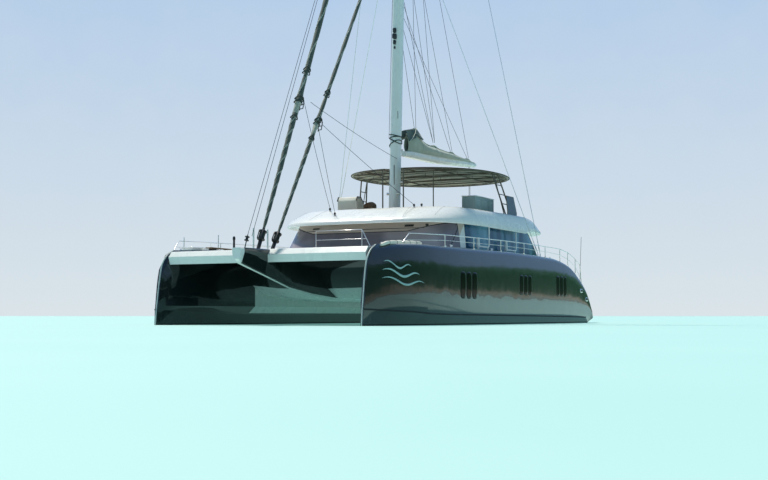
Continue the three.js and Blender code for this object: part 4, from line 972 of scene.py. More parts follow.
# Salon and cockpit furniture
# Teak tables and a lacquered galley stand on the sole. The sofas are white plinths with foam cushions
# covered in pale woven fabric, piped along their seams.
def pad(low, high, crown=0.03, pinch=0.012, cell=0.11):
    """A bmesh cushion inside two corners, crowned above and drawn in along its sides, and its seam paths."""
    low, high = Vector(low), Vector(high)
    middle, half = (low + high) / 2, (high - low) / 2
    flat = min(range(3), key=lambda k: half[k])

    def soften(point):
        """The point drawn in towards the cushion's seams."""
        u = [(point[k] - middle[k]) / half[k] for k in range(3)]
        moved = list(point)
        for k in range(3):
            others = [u[j] for j in range(3) if j != k]
            ends = (1 - others[0] ** 4) * (1 - others[1] ** 4)
            if k == flat:
                moved[k] -= crown * max(u[k], 0) * (1 - ends) if k == 2 else crown * u[k] * (1 - ends)
            else:
                moved[k] -= pinch * u[k] * (1 - others[0 if flat > k else 1] ** 2)
        return Vector(moved)

    shape = bmesh.new()
    bmesh.ops.create_cube(shape, size=1)
    bmesh.ops.scale(shape, vec=half * 2, verts=shape.verts)
    bmesh.ops.translate(shape, vec=middle, verts=shape.verts)
    for axis in range(3):
        run = [edge for edge in shape.edges if abs((edge.verts[0].co - edge.verts[1].co)[axis]) > half[axis]]
        cuts = max(2, round(2 * half[axis] / cell))
        bmesh.ops.subdivide_edges(shape, edges=run, cuts=cuts, use_grid_fill=True)
    for vert in shape.verts:
        vert.co = soften(vert.co)
    seams = []
    a, b = (k for k in range(3) if k != flat)
    for end in (-0.86, 0.86):
        loop = []
        for ua, ub, along_a, along_b in ((-1, -1, 1, 0), (1, -1, 0, 1), (1, 1, -1, 0), (-1, 1, 0, -1)):
            for k in range(10):
                point = middle.copy()
                point[flat] += end * half[flat]
                point[a] += half[a] * 0.985 * (ua + along_a * 0.2 * k)
                point[b] += half[b] * 0.985 * (ub + along_b * 0.2 * k)
                loop.append(soften(point))
        seams.append(loop)
    return shape, seams


def woven(name, light, dark, threads, wear, seams=None, depth=0.001, **values):
    """A cloth finish that fades between two colours over the height of its threads.

    threads is what crossed takes and wear is the noise of the fading. seams are half their spacing in
    metres, their strength and their colour.
    """
    material, tree, shader, place = finish(name, **values)
    height = crossed(tree, place, **threads)
    faded = add(tree, "TexNoise", {"Vector": place, **wear}).outputs["Fac"]
    tint = add(tree, "Mix", {0: faded, 6: linear(light), 7: linear(dark)}, data_type="RGBA").outputs[2]
    if seams:
        spacing, strength, colour = seams
        along = add(tree, "SeparateXYZ", {0: place}).outputs["X"]
        seam = add(tree, "Math", {0: along, 1: spacing}, operation="PINGPONG").outputs[0]
        line = add(tree, "MapRange", {"Value": seam, "From Min": 0.012, "From Max": 0.02,
                                      "To Min": strength, "To Max": 0.0}).outputs["Result"]
        tint = add(tree, "Mix", {0: line, 6: tint, 7: linear(colour)}, data_type="RGBA").outputs[2]
    bump = add(tree, "Bump", {"Height": height, "Distance": depth, "Strength": 0.5}).outputs["Normal"]
    fill(tree, shader, {"Base Color": tint, "Normal": bump})
    return material


def side_by_side(spans, low, high, axis=0):
    """The corners of cushions in spans along an axis, from their low and high corners across it."""
    pads = []
    for start, stop in spans:
        near, far = list(low), list(high)
        near.insert(axis, start)
        far.insert(axis, stop)
        pads.append((near, far))
    return pads


# Woven acrylic upholstery: pale sand, threads of 1 mm drawn at 8 mm, slightly napped and faded in patches
upholstery = woven("woven_acrylic_upholstery", "#e4e1d6", "#cbc8bc",
                   {"apart": 0.008, "axes": "XYZ", "join": "ADD", "Distortion": 0.6, "Detail": 1.0},
                   {"Scale": 3.0, "Detail": 4.0}, depth=0.0012,
                   roughness=0.9, sheen_weight=0.35, sheen_roughness=0.5)
# Piping: the same yarn wound tight, a shade darker
piping = mottled("upholstery_piping", "#b5b1a4", "#a19d90", 0.05, 0.8, 0.9, 0.006, 0.001)

SALON_SOLE, FLY_SOLE = 1.953, 4.703
SALON_RUN, SALON_END = [(-0.58, 0.68), (0.7, 1.98), (2.0, 3.04)], [(0.32, 1.6), (1.62, 2.9)]
COCKPIT_RUN = [(-1.78, -0.61), (-0.59, 0.59), (0.61, 1.78)]
FLY_RUN, FLY_SIDE = [(-2.28, -0.77), (-0.75, 0.75), (0.77, 2.28)], [(-6.4, -5.66), (-5.64, -4.92)]
# Each sofa: the corners of its plinths, then of its cushions
SOFAS = {
    "salon_sofa": (
        [((-0.6, 2.25, SALON_SOLE), (3.3, 3.15, 2.22)), ((2.6, 0.3, SALON_SOLE), (3.3, 2.25, 2.22))],
        side_by_side(SALON_RUN, (2.27, 2.22), (2.9, 2.38))
        + [((2.62, 0.32, 2.22), (3.04, 2.25, 2.38))]
        + side_by_side(SALON_RUN, (2.91, 2.23), (3.14, 2.94))
        + side_by_side(SALON_END, (3.06, 2.23), (3.29, 2.94), 1),
    ),
    "cockpit_sofa": (
        [((-9.74, -1.8, SALON_SOLE), (-9.0, 1.8, 2.22))],
        side_by_side(COCKPIT_RUN, (-9.5, 2.22), (-9.02, 2.38), 1)
        + side_by_side(COCKPIT_RUN, (-9.73, 2.23), (-9.53, 2.81), 1),
    ),
    "flybridge_sofa": (
        [((-7.1, -2.3, FLY_SOLE), (-6.4, 2.3, 4.96)), ((-6.5, -3.3, FLY_SOLE), (-4.9, -2.6, 4.96)),
         ((-6.99, -2.9, FLY_SOLE), (-6.4, -2.3, 4.96))],
        side_by_side(FLY_RUN, (-6.86, 4.96), (-6.42, 5.12), 1)
        + side_by_side(FLY_SIDE, (-3.28, 4.96), (-2.62, 5.12))
        + [((-6.97, -2.88, 4.96), (-6.42, -2.3, 5.12))]
        + side_by_side(FLY_RUN, (-7.09, 4.97), (-6.89, 5.44), 1),
    ),
}
for node, (plinths, pads) in SOFAS.items():
    plinths = [block(low, high, 0.02) for low, high in plinths]
    base = mesh_object(node + "_plinth", gathered(*plinths), white_gelcoat)
    stands_for(base, node)
    stuffed, seams = [], []
    for low, high in pads:
        shape, loops = pad(low, high)
        stuffed.append(shape)
        seams += loops
    cushions = mesh_object(node + "_cushions", gathered(*stuffed), upholstery, 80)
    rounded = cushions.modifiers.new("rounded", "SUBSURF")
    rounded.levels = rounded.render_levels = 1
    belongs(worked(cushions))
    belongs(tubes(node + "_piping", seams, 0.006, piping, closed=True))

for node in ("salon_table", "cockpit_table", "flybridge_table"):
    dressed(node, teak, 0.012)
# Lacquered joinery with a solid pale worktop
lacquer = mottled("lacquered_oak_joinery", "#a08a6c", "#8a7458", 0.25, 0.3, 0.45, 0.01, 0.0006)
dressed("salon_galley", [lacquer, white_gelcoat], 0.01,
        zone=lambda middle, normal: int(normal.z > 0.9))


# Roof posts
# A white coated tube stands on the side deck under the brow, swept forward at its foot into a short
# upright stub with a white plastic sleeve.
# White powder-coated tube: bright, satin
white_tube = mottled("white_powder_coated_tube", "#f2f3f2", "#e6e8e7", 0.3, 0.25, 0.4, 0.01, 0.0003)
# White plastic sleeve: satin polyethylene
sleeve = mottled("white_polyethylene_sleeve", "#edeeed", "#dcdedd", 0.15, 0.35, 0.5, 0.01, 0.0004)
for side in ("port", "starboard"):
    for post, foot in (("forward", 1.06), ("aft", -2.26)):
        dressed(f"roof_post_{post}_{side}", [white_tube, sleeve], sharp=45,
                zone=lambda middle, normal, at=foot: 1 if middle.x > at - 0.1 and middle.z > 3.33 else 0)


# Helm console
# A moulded pod carries the instruments and wheel. It wears a fitted cover of off-white coated
# canvas with a dark binding along its upper edges, drawn tight and creased at the corners.
# Coated canvas: off-white, satin, faded in patches, with a weave of 1 mm drawn at 9 mm
canvas = woven("off_white_coated_canvas", "#e9e6dc", "#d2cec2",
               {"apart": 0.009, "axes": "YZ", "Distortion": 0.3}, {"Scale": 2.2, "Detail": 5.0},
               roughness=0.7, sheen_weight=0.2)
# Dark binding tape: brown-black woven acrylic
binding = mottled("dark_binding_tape", "#37322d", "#282420", 0.06, 0.8, 0.9, 0.006, 0.001)

CONSOLE_SIDE = [(-0.42, FLY_SOLE), (0.31, FLY_SOLE), (0.34, 5.74), (0.24, 5.93), (-0.1, 5.93), (-0.41, 5.64)]
shape = extruded([(x, -3.07, z) for x, z in CONSOLE_SIDE], (0, 1, 0), 1.04)
upper = [edge for edge in shape.edges
         if edge.calc_face_angle(0) > 0.3 and max(vert.co.z for vert in edge.verts) > 5]
bmesh.ops.bevel(shape, geom=upper, offset=0.05, segments=3, profile=0.5, affect="EDGES", material=-1)
bmesh.ops.triangulate(shape, faces=[face for face in shape.faces if len(face.verts) > 4])
bmesh.ops.subdivide_edges(shape, edges=shape.edges[:], cuts=5, use_grid_fill=True)
for vert in shape.verts:
    x, y, z = vert.co
    fold = math.sin(9 * y + 3 * z) * math.sin(5 * z - 2 * y + 4 * x) + 0.5 * math.sin(21 * y + 13 * z)
    loose = min(max((5.7 - z) / 0.8, 0), 1)
    ahead, outward = 1 if x > 0 else 0, 1 if y > -2.5 else -1
    vert.co -= Vector((0.012 * (1 - fold) * (0.3 + loose) * ahead, 0.01 * (1 + fold) * loose * outward, 0))
shape.normal_update()
under = [face for face in shape.faces if face.normal.z < -0.9]
bmesh.ops.delete(shape, geom=under, context="FACES")
cover_area = sum(face.calc_area() for face in shape.faces)
cover = mesh_object("console_cover", shape, canvas, 60)
cover.modifiers.new("canvas", "SOLIDIFY").thickness = 0.004
stands_for(worked(cover), "helm_console")
edge_path = [[(x + 0.004 * (x > 0), y, z + 0.006) for x, z in CONSOLE_SIDE[2:]] for y in (-3.06, -2.04)]
belongs(tubes("console_binding", edge_path, 0.022, binding))
hub = slid(cone(32, 0.085, 0.065, 0.06), to=(-0.44, -2.55, 5.48), turn=Matrix.Rotation(-math.pi / 2, 3, "Y"))
belongs(mesh_object("wheel_bearing", hub, stainless))
dressed("steering_wheel", stainless, sharp=45)


# Helm chair
# A tub chair woven in brown synthetic cane over an alloy frame, on a round pedestal, with a seat pad.
# Woven synthetic cane: flat strands 8 mm wide drawn at 24 mm, over and under, brown with paler tops
STRAND = 0.048
cane, tree, shader, place = finish("woven_synthetic_cane", roughness=0.55, specular_ior_level=0.4)
flat_weave = crossed(tree, place, STRAND, "XY", "ADD")
upright = add(tree, "TexWave", {"Vector": place, "Scale": WAVE_RUN / STRAND, "Phase Offset": 1.57},
              bands_direction="Z").outputs["Fac"]
over = add(tree, "Math", {0: flat_weave, 1: upright}, operation="MULTIPLY").outputs[0]
tint = add(tree, "Mix", {0: over, 6: linear("#3f3028"), 7: linear("#8c6f58")}, data_type="RGBA")
bump = add(tree, "Bump", {"Height": over, "Distance": 0.006, "Strength": 0.9})
fill(tree, shader, {"Base Color": tint.outputs[2], "Normal": bump.outputs["Normal"]})

tub = []
CHAIR = Vector((-1.78, -2.6, 5.15))
ARC = [math.radians(a) for a in range(-115, 116, 10)]
for rise in (0.0, 0.18, 0.34, 0.41, 0.41, 0.34, 0.18, 0.02):
    outer = len(tub) < 4
    row = []
    for angle in ARC:
        back = math.cos(angle * 0.5) ** 2
        reach = (0.4 if outer else 0.35) + 0.02 * (rise > 0.3)
        top = rise * (0.75 + 1.05 * back ** 2) if rise > 0.3 else rise
        row.append(CHAIR + Vector((-reach * math.cos(angle), reach * 1.12 * math.sin(angle), top)))
    tub.append(row)
shape = lofted(tub, capped=False)
# A ring closes across the seat's open front, so the long faces there are taken away again
across = [edge for edge in shape.edges if edge.calc_length() > 0.5 and len(edge.link_faces) < 3
          and abs(edge.verts[0].co.y - edge.verts[1].co.y) > 0.5]
bmesh.ops.delete(shape, geom=across, context="EDGES")
seat = cone(40, 0.36, 0.39, 0.09)
bmesh.ops.scale(seat, vec=(1, 1.1, 1), verts=seat.verts)
seat = slid(seat, to=CHAIR + Vector((0, 0, 0.02)))
stand = slid(cone(32, 0.2, 0.09, 0.44), to=(CHAIR.x, CHAIR.y, 4.925))
chair = mesh_object("cane_chair", gathered(shape, seat, stand), cane, 50)
stands_for(chair, "helm_chair")
shape, seams = pad(CHAIR + Vector((-0.28, -0.3, 0.06)), CHAIR + Vector((0.34, 0.3, 0.17)), cell=0.05)
seat_pad = belongs(mesh_object("chair_pad", shape, upholstery, 80))
rim = []
for a in ARC:
    top = 0.41 * (0.75 + 1.05 * math.cos(a * 0.5) ** 4) + 0.005
    rim.append(CHAIR + Vector((-0.385 * math.cos(a), 0.43 * math.sin(a), top)))
belongs(tubes("chair_rim", [rim], 0.018, cane))


# Bar cabinet
# A moulded cabinet for the barbecue and sink stands to port under a grey-green fitted cover, with an
# alloy worktop.
# Grey-green powder coat: satin, faintly textured, paler in patches
cabinet_coat = mottled("grey_green_powder_coat", "#a5b3b0", "#8c9d9a", 0.4, 0.45, 0.6, 0.006, 0.0006)
DOOR_STEP = 0.75
body = block((-3.6, 2.62, FLY_SOLE), (-1.32, 3.28, 5.86), 0.02)
doors = []
for near, far in ((2.6, 2.625), (3.275, 3.296)):
    for x in (DOOR_STEP * k for k in range(3)):
        doors.append(block((-3.55 + x, near, 4.86), (-2.86 + x, far, 5.78), 0.008))
doors.append(block((-1.325, 2.7, 4.86), (-1.304, 3.2, 5.78), 0.008))
stands_for(mesh_object("bar_cabinet_body", gathered(body, *doors), cabinet_coat), "bar_cabinet")
worktop = block((-3.62, 2.6, 5.86), (-1.3, 3.3, 5.9), 0.01)
belongs(mesh_object("bar_worktop", worktop, stainless))
PULL = [(-3.3, 3.29), (-3.3, 3.32), (-3.1, 3.32), (-3.1, 3.29)]
pulls = [[(x + DOOR_STEP * k, y, 5.68) for x, y in PULL] for k in range(3)]
belongs(tubes("bar_pulls", pulls, 0.007, stainless))


# Hardtop
# Pale acrylic canvas is stretched over the flybridge frame and laced to its rim, with a dark bolt rope
# round the edge, seams from side to side and a slot for the mast.
TOP = {"front": 0.65, "aft": -7.75, "half": 3.65, "power": 2.25, "widest": -3.55, "crown": 0.21, "rim": 7.08}


def top_height(x, y):
    """The height of the cloth's underside at x and y."""
    u = (x - TOP["widest"]) / (TOP["front"] - TOP["widest"])
    return TOP["rim"] + TOP["crown"] * (1 - min(u * u + (y / TOP["half"]) ** 2, 1))


def oval(share, count=96):
    """Plan points of the hardtop's outline, drawn in to a share of its size."""
    reach = (TOP["front"] - TOP["aft"]) / 2 * share
    return [(TOP["widest"] + swelled(math.cos(a), 2 / TOP["power"]) * reach,
             swelled(math.sin(a), 2 / TOP["power"]) * TOP["half"] * share) for a in angles(count)]


def opened(path):
    """A closed path begun after its widest gap, so that it ends before it."""
    at = max(range(len(path)), key=lambda k: (Vector(path[k]) - Vector(path[k - 1])).length)
    return path[at:] + path[:at]


# Acrylic canvas: pale grey-beige, threads of 1 mm drawn at 12 mm, with seams every 1.1 m and rain stains
top_canvas = woven("pale_acrylic_canvas", "#dedacb", "#c4c0b0",
                   {"apart": 0.012, "axes": "XY", "Distortion": 0.4},
                   {"Scale": 1.3, "Detail": 6.0, "Roughness": 0.65}, (0.55, 0.55, "#96948a"),
                   roughness=0.9, sheen_weight=0.25)

TOP_RINGS = (1, 0.97, 0.9, 0.8, 0.68, 0.55, 0.42, 0.28, 0.14)
rings = [[(x, y, top_height(x, y) + 0.002) for x, y in oval(share)] for share in TOP_RINGS]
shape = lofted(rings, capped=False)
hole = [edge for edge in shape.edges if edge.is_boundary and abs(edge.verts[0].co.y) < 1.2
        and abs(edge.verts[0].co.x - TOP["widest"]) < 1.2]
bmesh.ops.holes_fill(shape, edges=hole, sides=0)
pushed(shape, shape.faces[:], (0, 0, 0.004))
tool = mesh_object("slot_tool", block((-0.42, -0.43, 6.5), (2, 0.43, 8)), top_canvas)
top = cut(mesh_object("hardtop_canvas", shape, top_canvas, 60), tool)
stands_for(top, "hardtop")

# Dark bolt rope in the canvas's hem
bolt_rope = mottled("dark_bolt_rope", "#4a463c", "#34322b", 0.08, 0.75, 0.9, 0.008, 0.001)
SLOT_EDGE = [(0.6, 0.44), (-0.43, 0.44), (-0.43, -0.44), (0.6, -0.44)]
edge_rope = opened([(x, y) for x, y in oval(0.996) if not (x > -0.5 and abs(y) < 0.46)])
edge_rope += reversed(SLOT_EDGE) if edge_rope[-1][1] < 0 else SLOT_EDGE
edge_rope = [(x, y, top_height(x, y) + 0.014) for x, y in edge_rope]
belongs(tubes("hardtop_bolt_rope", [edge_rope], 0.024, bolt_rope, closed=True))


# Hardtop frame
# Welded alloy tube carries the canvas: a rim, cross and lengthwise tubes, curved bows above them,
# zigzag bracing between, and legs of paired tubes with rungs down to the coachroof.
# Powder-coated alloy tube: warm grey-brown, satin, rubbed at the joints
frame_coat = mottled("grey_brown_powder_coat", "#6f675b", "#544e45", 0.25, 0.4, 0.6, 0.008, 0.0005)
dressed("hardtop_frame", frame_coat, sharp=50)
bows, braces = [], []
BOWS = [-0.9, -2.9, -4.7, -6.3]
LEVEL, UNDER = 7.085, 0.02
for x in BOWS + [-1.9, -3.8, -5.5]:
    reach = 0.94 * TOP["half"] * (1 - abs((x - TOP["widest"]) / 4.2) ** TOP["power"]) ** (1 / TOP["power"])
    ys = [reach * (k / 12 - 1) for k in range(25)]
    bows.append([(x, y, top_height(x, y) - UNDER) for y in ys])
for front, aft in zip(BOWS, BOWS[1:]):
    for side in (-1, 1):
        braces.append([(front, side * 1.7, LEVEL), (aft, side * 2.9, LEVEL)])
for x in BOWS:
    for y in (-1.7, 0, 1.7):
        braces.append([(x, y, LEVEL), (x, y, top_height(x, y) - UNDER)])
inner_rim = [(x, y, top_height(x, y) - UNDER) for x, y in oval(0.9, 80)]
for (x, y), near in list(zip(oval(0.97, 80), inner_rim))[::2]:
    if x < -0.5 or abs(y) > 0.5:
        braces.append([(x, y, LEVEL), near])
bows.append(opened([(x, y, z) for x, y, z in inner_rim if x < -0.5 or abs(y) > 0.46]))
belongs(tubes("hardtop_bows", bows, 0.015, frame_coat))
belongs(tubes("hardtop_bracing", braces, 0.012, frame_coat))
extra_legs = [[(-3.46, 3.9, 4.95), (-3.3, 3.42, 7.06)], [(-3.46, -3.9, 4.95), (-3.3, -3.42, 7.06)],
              [(-0.6, 1.5, 4.705), (-0.62, 1.5, 7.09)], [(-3.8, 0, 4.705), (-3.8, 0, 7.09)]]
belongs(tubes("hardtop_struts", extra_legs, 0.02, frame_coat))
FEET = [(0.56, 0.53), (0.56, -0.53), (-0.6, 1.5), (-3.8, 0)]
shoes = [slid(cone(24, 0.075, 0.045, 0.035), to=(x, y, over_roof(x, y).z + 0.018)) for x, y in FEET]
belongs(mesh_object("hardtop_shoes", gathered(*shoes), frame_coat))


# Windbreaks
# A bent pane of smoked acrylic in a dark tube frame shelters each side of the flybridge.
# Smoked acrylic sheet
smoked = mottled("smoked_acrylic_sheet", "#39454d", "#48565e", 0.4, 0.03, 0.1, 0.3, 0.0005, ior=1.49)
BREAK_Y = 4.15
BREAK = [(-3.15, 5.05), (-3.15, 5.3), (-2.98, 5.98), (-3.9, 5.98), (-4.32, 5.25), (-4.3, 5.05)]
for side in ("port", "starboard"):
    dressed("windbreak_" + side, smoked, 0.002)
pane_frame = [(x, BREAK_Y, z) for x, z in BREAK + BREAK[:1]]
belongs(tubes("windbreak_frames", both_sides([pane_frame]), 0.019, frame_coat))


# Mast
# A tapered, raked spar of painted carbon fibre with an aft track, two pairs of spreaders, halyard
# exits, winches and cleats near its foot and dark webbing lashed round it at the boom.
# Spar paint: off-white two-pack polyurethane, satin-gloss
spar_paint = mottled("white_polyurethane_spar_paint", "#e6e8e7", "#d5d8d7", 1.2, 0.22, 0.34, 0.02, 0.0003,
                     coat_weight=0.2)
# Black acetal and anodised fittings: near-black, dull
black_fitting = mottled("black_anodised_fitting", "#1b1d1e", "#2a2d2e", 0.05, 0.35, 0.5, 0.006, 0.0003)
MAST = {"foot": 5.0503, "top": 35.0, "x": 0.41, "from": 5.3, "rake": 0.0439, "long": 0.385, "wide": 0.208}
MAST_POWER = 2 / 2.3
SPREADER = 17.5
CROSSWISE = Matrix.Rotation(math.pi / 2, 3, "X")


def mast_x(z):
    """The mast's middle at height z."""
    return MAST["x"] - MAST["rake"] * (z - MAST["from"])


def mast_share(z):
    """The share of the mast's full section at height z."""
    return eased([(5.0, 1), (12.0, 1), (20.0, 0.97), (28.0, 0.85), (35.0, 0.6)], z)[0]


def mast_ring(z, grow=0.0, count=40):
    """The points round the mast at height z."""
    long, wide = MAST["long"] * mast_share(z) + grow, MAST["wide"] * mast_share(z) + grow
    return [(mast_x(z) + long * swelled(math.cos(a), MAST_POWER), wide * swelled(math.sin(a), MAST_POWER), z)
            for a in angles(count)]


def on_mast(angle, z, lift=0.0):
    """The point on the mast's skin at a bearing from ahead, positive to port, and the way it faces."""
    c, s = math.cos(math.radians(angle)), math.sin(math.radians(angle))
    x = swelled(c, MAST_POWER) * MAST["long"] * mast_share(z)
    y = swelled(s, MAST_POWER) * MAST["wide"] * mast_share(z)
    out = Vector((c * MAST["wide"], s * MAST["long"], 0)).normalized()
    return Vector((mast_x(z) + x, y, z)) + out * lift, out


def turned_part(profile, steps=28):
    """A bmesh spun round Z from its radii and heights."""
    shape = bmesh.new()
    verts = [shape.verts.new((r, 0, h)) for r, h in profile]
    edges = [shape.edges.new(pair) for pair in zip(verts, verts[1:])]
    bmesh.ops.spin(shape, geom=verts + edges, cent=(0, 0, 0), axis=(0, 0, 1), dvec=(0, 0, 0),
                   angle=2 * math.pi, steps=steps, use_merge=True, use_duplicate=False)
    return shape


heights = [MAST["foot"] + k * (MAST["top"] - MAST["foot"]) / 30 for k in range(31)]
shape = lofted([mast_ring(z) for z in heights])
fixed = []
for z in (7.7794, 8.0406):
    fixed.append(block((-0.33, -0.07, z), (0.1, 0.07, z + 0.06), 0.004))
    fixed.append(slid(cone(32, 0.075, 0.075, 0.06), to=(-0.33, 0, z + 0.03)))
for z, reach in ((SPREADER, 1.5), (26.5, 1.25)):
    for side in (1, -1):
        start, stop = Vector((mast_x(z), 0, z)), Vector((mast_x(z) - 0.25, side * reach, z + 0.08))
        arm = cone(24, 0.09, 0.05, (stop - start).length)
        bmesh.ops.scale(arm, vec=(1.2, 0.5, 1), verts=arm.verts)
        fixed.append(slid(arm, to=(start + stop) / 2, turn=facing(stop - start)))
stands_for(mesh_object("mast_tube", gathered(shape, *fixed), spar_paint, 40), "mast")
tangs = []
for head in (34.4, 21.2):
    reach = MAST["wide"] * mast_share(head) + 0.04
    tangs.append(slid(cone(24, 0.07, 0.07, 2 * reach), to=(mast_x(head), 0, head), turn=CROSSWISE))
belongs(mesh_object("mast_tangs", gathered(*tangs), stainless))
TRACK = (8.6, 12, 16, 20, 24, 28, 32, 34.6)
track = [(mast_x(z) - MAST["long"] * mast_share(z) - 0.004, 0, z) for z in TRACK]
belongs(tubes("mast_track", [track], 0.022, black_fitting))
COLLAR = [(5.055, 0.05), (5.13, 0.045), (5.2, 0.012), (5.23, 0.002)]
collar = lofted([mast_ring(z, grow) for z, grow in COLLAR])
belongs(mesh_object("mast_boot", collar, rubber, 40))

# Halyard exit slots: bearing, height, width, length. Blocks on the mast's face: rise, width, length, depth
EXITS = [(33, 6.58, 0.035, 1.36), (-33, 6.58, 0.035, 1.0), (60, 9.6, 0.03, 0.35), (-60, 9.9, 0.03, 0.35)]
CLUSTER = [(0.3, 0.16, 0.22, 0.1), (0.02, 0.2, 0.24, 0.15), (-0.26, 0.13, 0.2, 0.12),
           (-0.5, 0.08, 0.14, 0.06)]
fittings = []
for angle, z, wide, tall in EXITS:
    at, out = on_mast(angle, z, -0.004)
    fittings.append(slid(plate(wide, tall, wide * 0.45, 0.01, 0.003), to=at, turn=facing(out)))
at, out = on_mast(8, 13.25)
for rise, wide, tall, deep in CLUSTER:
    body = plate(wide, tall, 0.05, deep, 0.02)
    fittings.append(slid(body, to=at + Vector((0, 0, rise)), turn=facing(out)))
belongs(mesh_object("mast_fittings", gathered(*fittings), black_fitting))
# Winches: a lathed drum on each side near the foot
WINCH = [(0, 0), (0.075, 0), (0.078, 0.02), (0.055, 0.035), (0.05, 0.09), (0.062, 0.12), (0.06, 0.14),
         (0, 0.15)]
winches = []
for angle, z in ((75, 5.95), (-75, 5.95), (105, 6.5), (-105, 6.5)):
    at, out = on_mast(angle, z, -0.004)
    winches.append(slid(turned_part(WINCH), to=at, turn=facing(out)))
belongs(mesh_object("mast_winches", gathered(*winches), stainless, 35))
# Webbing: dark woven straps wound round the mast and a bundle of gear under them
webbing = mottled("dark_woven_webbing", "#26302f", "#3a4443", 0.05, 0.8, 0.95, 0.01, 0.002)
wraps = []
for low, lean in ((8.28, 0.16), (8.42, -0.14), (8.55, 0.05), (8.66, -0.05)):
    ring = mast_ring(low, 0.02, 48)
    wraps.append([(x, y, z + lean * math.sin(2 * math.pi * k / 48)) for k, (x, y, z) in enumerate(ring)])
belongs(tubes("mast_lashings", wraps, 0.022, webbing, closed=True))


# Boom
# A deep painted trough, pinned to the mast at the gooseneck, with a rounded end cap.
dressed("boom", spar_paint, 0.012)


# Sail bag
# The mainsail lies in a zipped bag of sage-green acrylic canvas that hangs from lazy jacks and is held
# up in peaks at each one. Its front flaps stand open by the mast over a gap painted dark for the shade in
# it.
# Sage acrylic canvas: grey-green, threads of 1 mm drawn at 14 mm, seamed every 2.1 m, bleached in patches
bag_canvas = woven("sage_acrylic_canvas", "#a3afa4", "#87948b",
                   {"apart": 0.014, "axes": "XZ", "Distortion": 0.4},
                   {"Scale": 1.6, "Detail": 6.0, "Roughness": 0.65}, (1.05, 0.5, "#5f6d65"),
                   roughness=0.9, sheen_weight=0.3)
# Teal canvas for the flaps: the same weave, darker and less faded
flap_canvas = mottled("dark_teal_canvas", "#3f5c59", "#2c4442", 0.3, 0.85, 0.95, 0.014, 0.002,
                      sheen_weight=0.3)
# Painted shade: dark sailcloth inside the bag's open front stands for the shade there
sail_painted_shade = mottled("sailcloth_painted_shade", "#3c4644", "#23302e", 0.2, 0.8, 0.9, 0.03, 0.004)

# Columns: x, underside, top, half width
BAG = [(-0.82, 8.04, 8.9, 0.13), (-1.3, 8.07, 9.08, 0.25), (-1.78, 8.08, 9.28, 0.26),
       (-2.2, 8.09, 8.9, 0.29), (-3.1, 8.11, 8.69, 0.33), (-5.1, 8.19, 8.62, 0.33),
       (-7.5, 8.32, 8.52, 0.25), (-8.75, 8.37, 8.45, 0.15)]
PEAKS = [-1.78, -3.9, -6.0, -8.1]


def bag_ring(x, count=28):
    """The bag's section at x: a belly low down that draws in to a ridge, lifted at each lazy jack."""
    low, high, half = eased(BAG, x)
    tall = high - low
    lift = sum(0.09 * math.exp(-((x - peak) / 0.28) ** 2) for peak in PEAKS[1:])
    ring = []
    for k in range(count):
        a = 2 * math.pi * (k + 0.5) / count
        up = 0.5 - 0.5 * math.cos(a)
        belly = math.sin(math.pi * min(up * 0.9 + 0.16, 1)) ** 0.7 if up < 0.93 else 0.3 * (1.06 - up) / 0.13
        wide = half * belly
        pull = sum(math.exp(-((x - peak) / 0.9) ** 2) * math.sin(14 * (x - peak) * (1.3 - up))
                   for peak in PEAKS)
        crease = 0.012 * pull * up * (1 - up) * 4 + 0.008 * math.sin(3.1 * x + 9 * up) * (1 - up)
        z = low + tall * up + (lift * max(up - 0.8, 0) * 5)
        y = math.copysign(max(wide + crease, 0.012), math.sin(a)) if abs(math.sin(a)) > 1e-6 else 0
        ring.append((x, y, z))
    return ring


xs = [-0.82 - 0.09 * k for k in range(89)]
shape = lofted([bag_ring(x) for x in xs if x > -8.75] + [bag_ring(-8.75)])
mouth = [face for face in shape.faces if len(face.verts) > 8 and face.calc_center_median().x > -1]
bmesh.ops.inset_region(shape, faces=mouth, thickness=0.018, depth=0.0)
pushed(shape, mouth, (-0.35, 0, 0), keep=False)
bmesh.ops.delete(shape, geom=[face for face in mouth if face.is_valid], context="FACES_ONLY")
# Faces inside the open front take the painted shade.
for face in shape.faces:
    if len(face.verts) > 8 and face.calc_center_median().x > -1.5:
        face.material_index = 1
bag = stands_for(mesh_object("mainsail_bag", shape, [bag_canvas, sail_painted_shade], 70), "sail_bag")


def flap(corners, swell=0.05, cells=10):
    """A bmesh of slack cloth between four corners, swelled at its middle."""
    shape = bmesh.new()
    bmesh.ops.create_grid(shape, x_segments=cells, y_segments=cells, size=0.5)
    a, b, c, d = (Vector(corner) for corner in corners)
    out = (b - a).cross(d - a).normalized()
    for vert in shape.verts:
        u, v = vert.co.x + 0.5, vert.co.y + 0.5
        point = a.lerp(b, u).lerp(d.lerp(c, u), v)
        vert.co = point + out * swell * (16 * u * (1 - u) * v * (1 - v) + 0.25 * math.sin(7 * u + 5 * v))
    return shape


# Columns: the four corners to port and the swell of each flap
FLAPS = [
    ([(-1.3, 0.3, 8.75), (-0.55, 0.3, 8.5), (-0.5, 0.12, 9.0), (-1.77, 0.06, 9.3)], 0.05),
    ([(-1.75, 0.05, 9.32), (-1.3, 0.22, 8.95), (-1.95, 0.32, 8.72), (-2.5, 0.12, 8.84)], 0.03),
]
flaps = []
for corners, swell in FLAPS:
    flaps += [flap(corners, swell), flap([(x, -y, z) for x, y, z in reversed(corners)], swell)]
cloths = mesh_object("bag_flaps", gathered(*flaps), flap_canvas, 80)
cloths.modifiers.new("cloth", "SOLIDIFY").thickness = 0.004
belongs(worked(cloths), "boom")
trim_tape = mottled("pale_edge_tape", "#d7d8cf", "#bfc1b8", 0.1, 0.75, 0.9, 0.006, 0.001)
front = [(-1.77, 0.07, 9.31), (-1.3, 0.24, 8.97), (-0.95, 0.28, 8.7), (-0.6, 0.3, 8.5)]
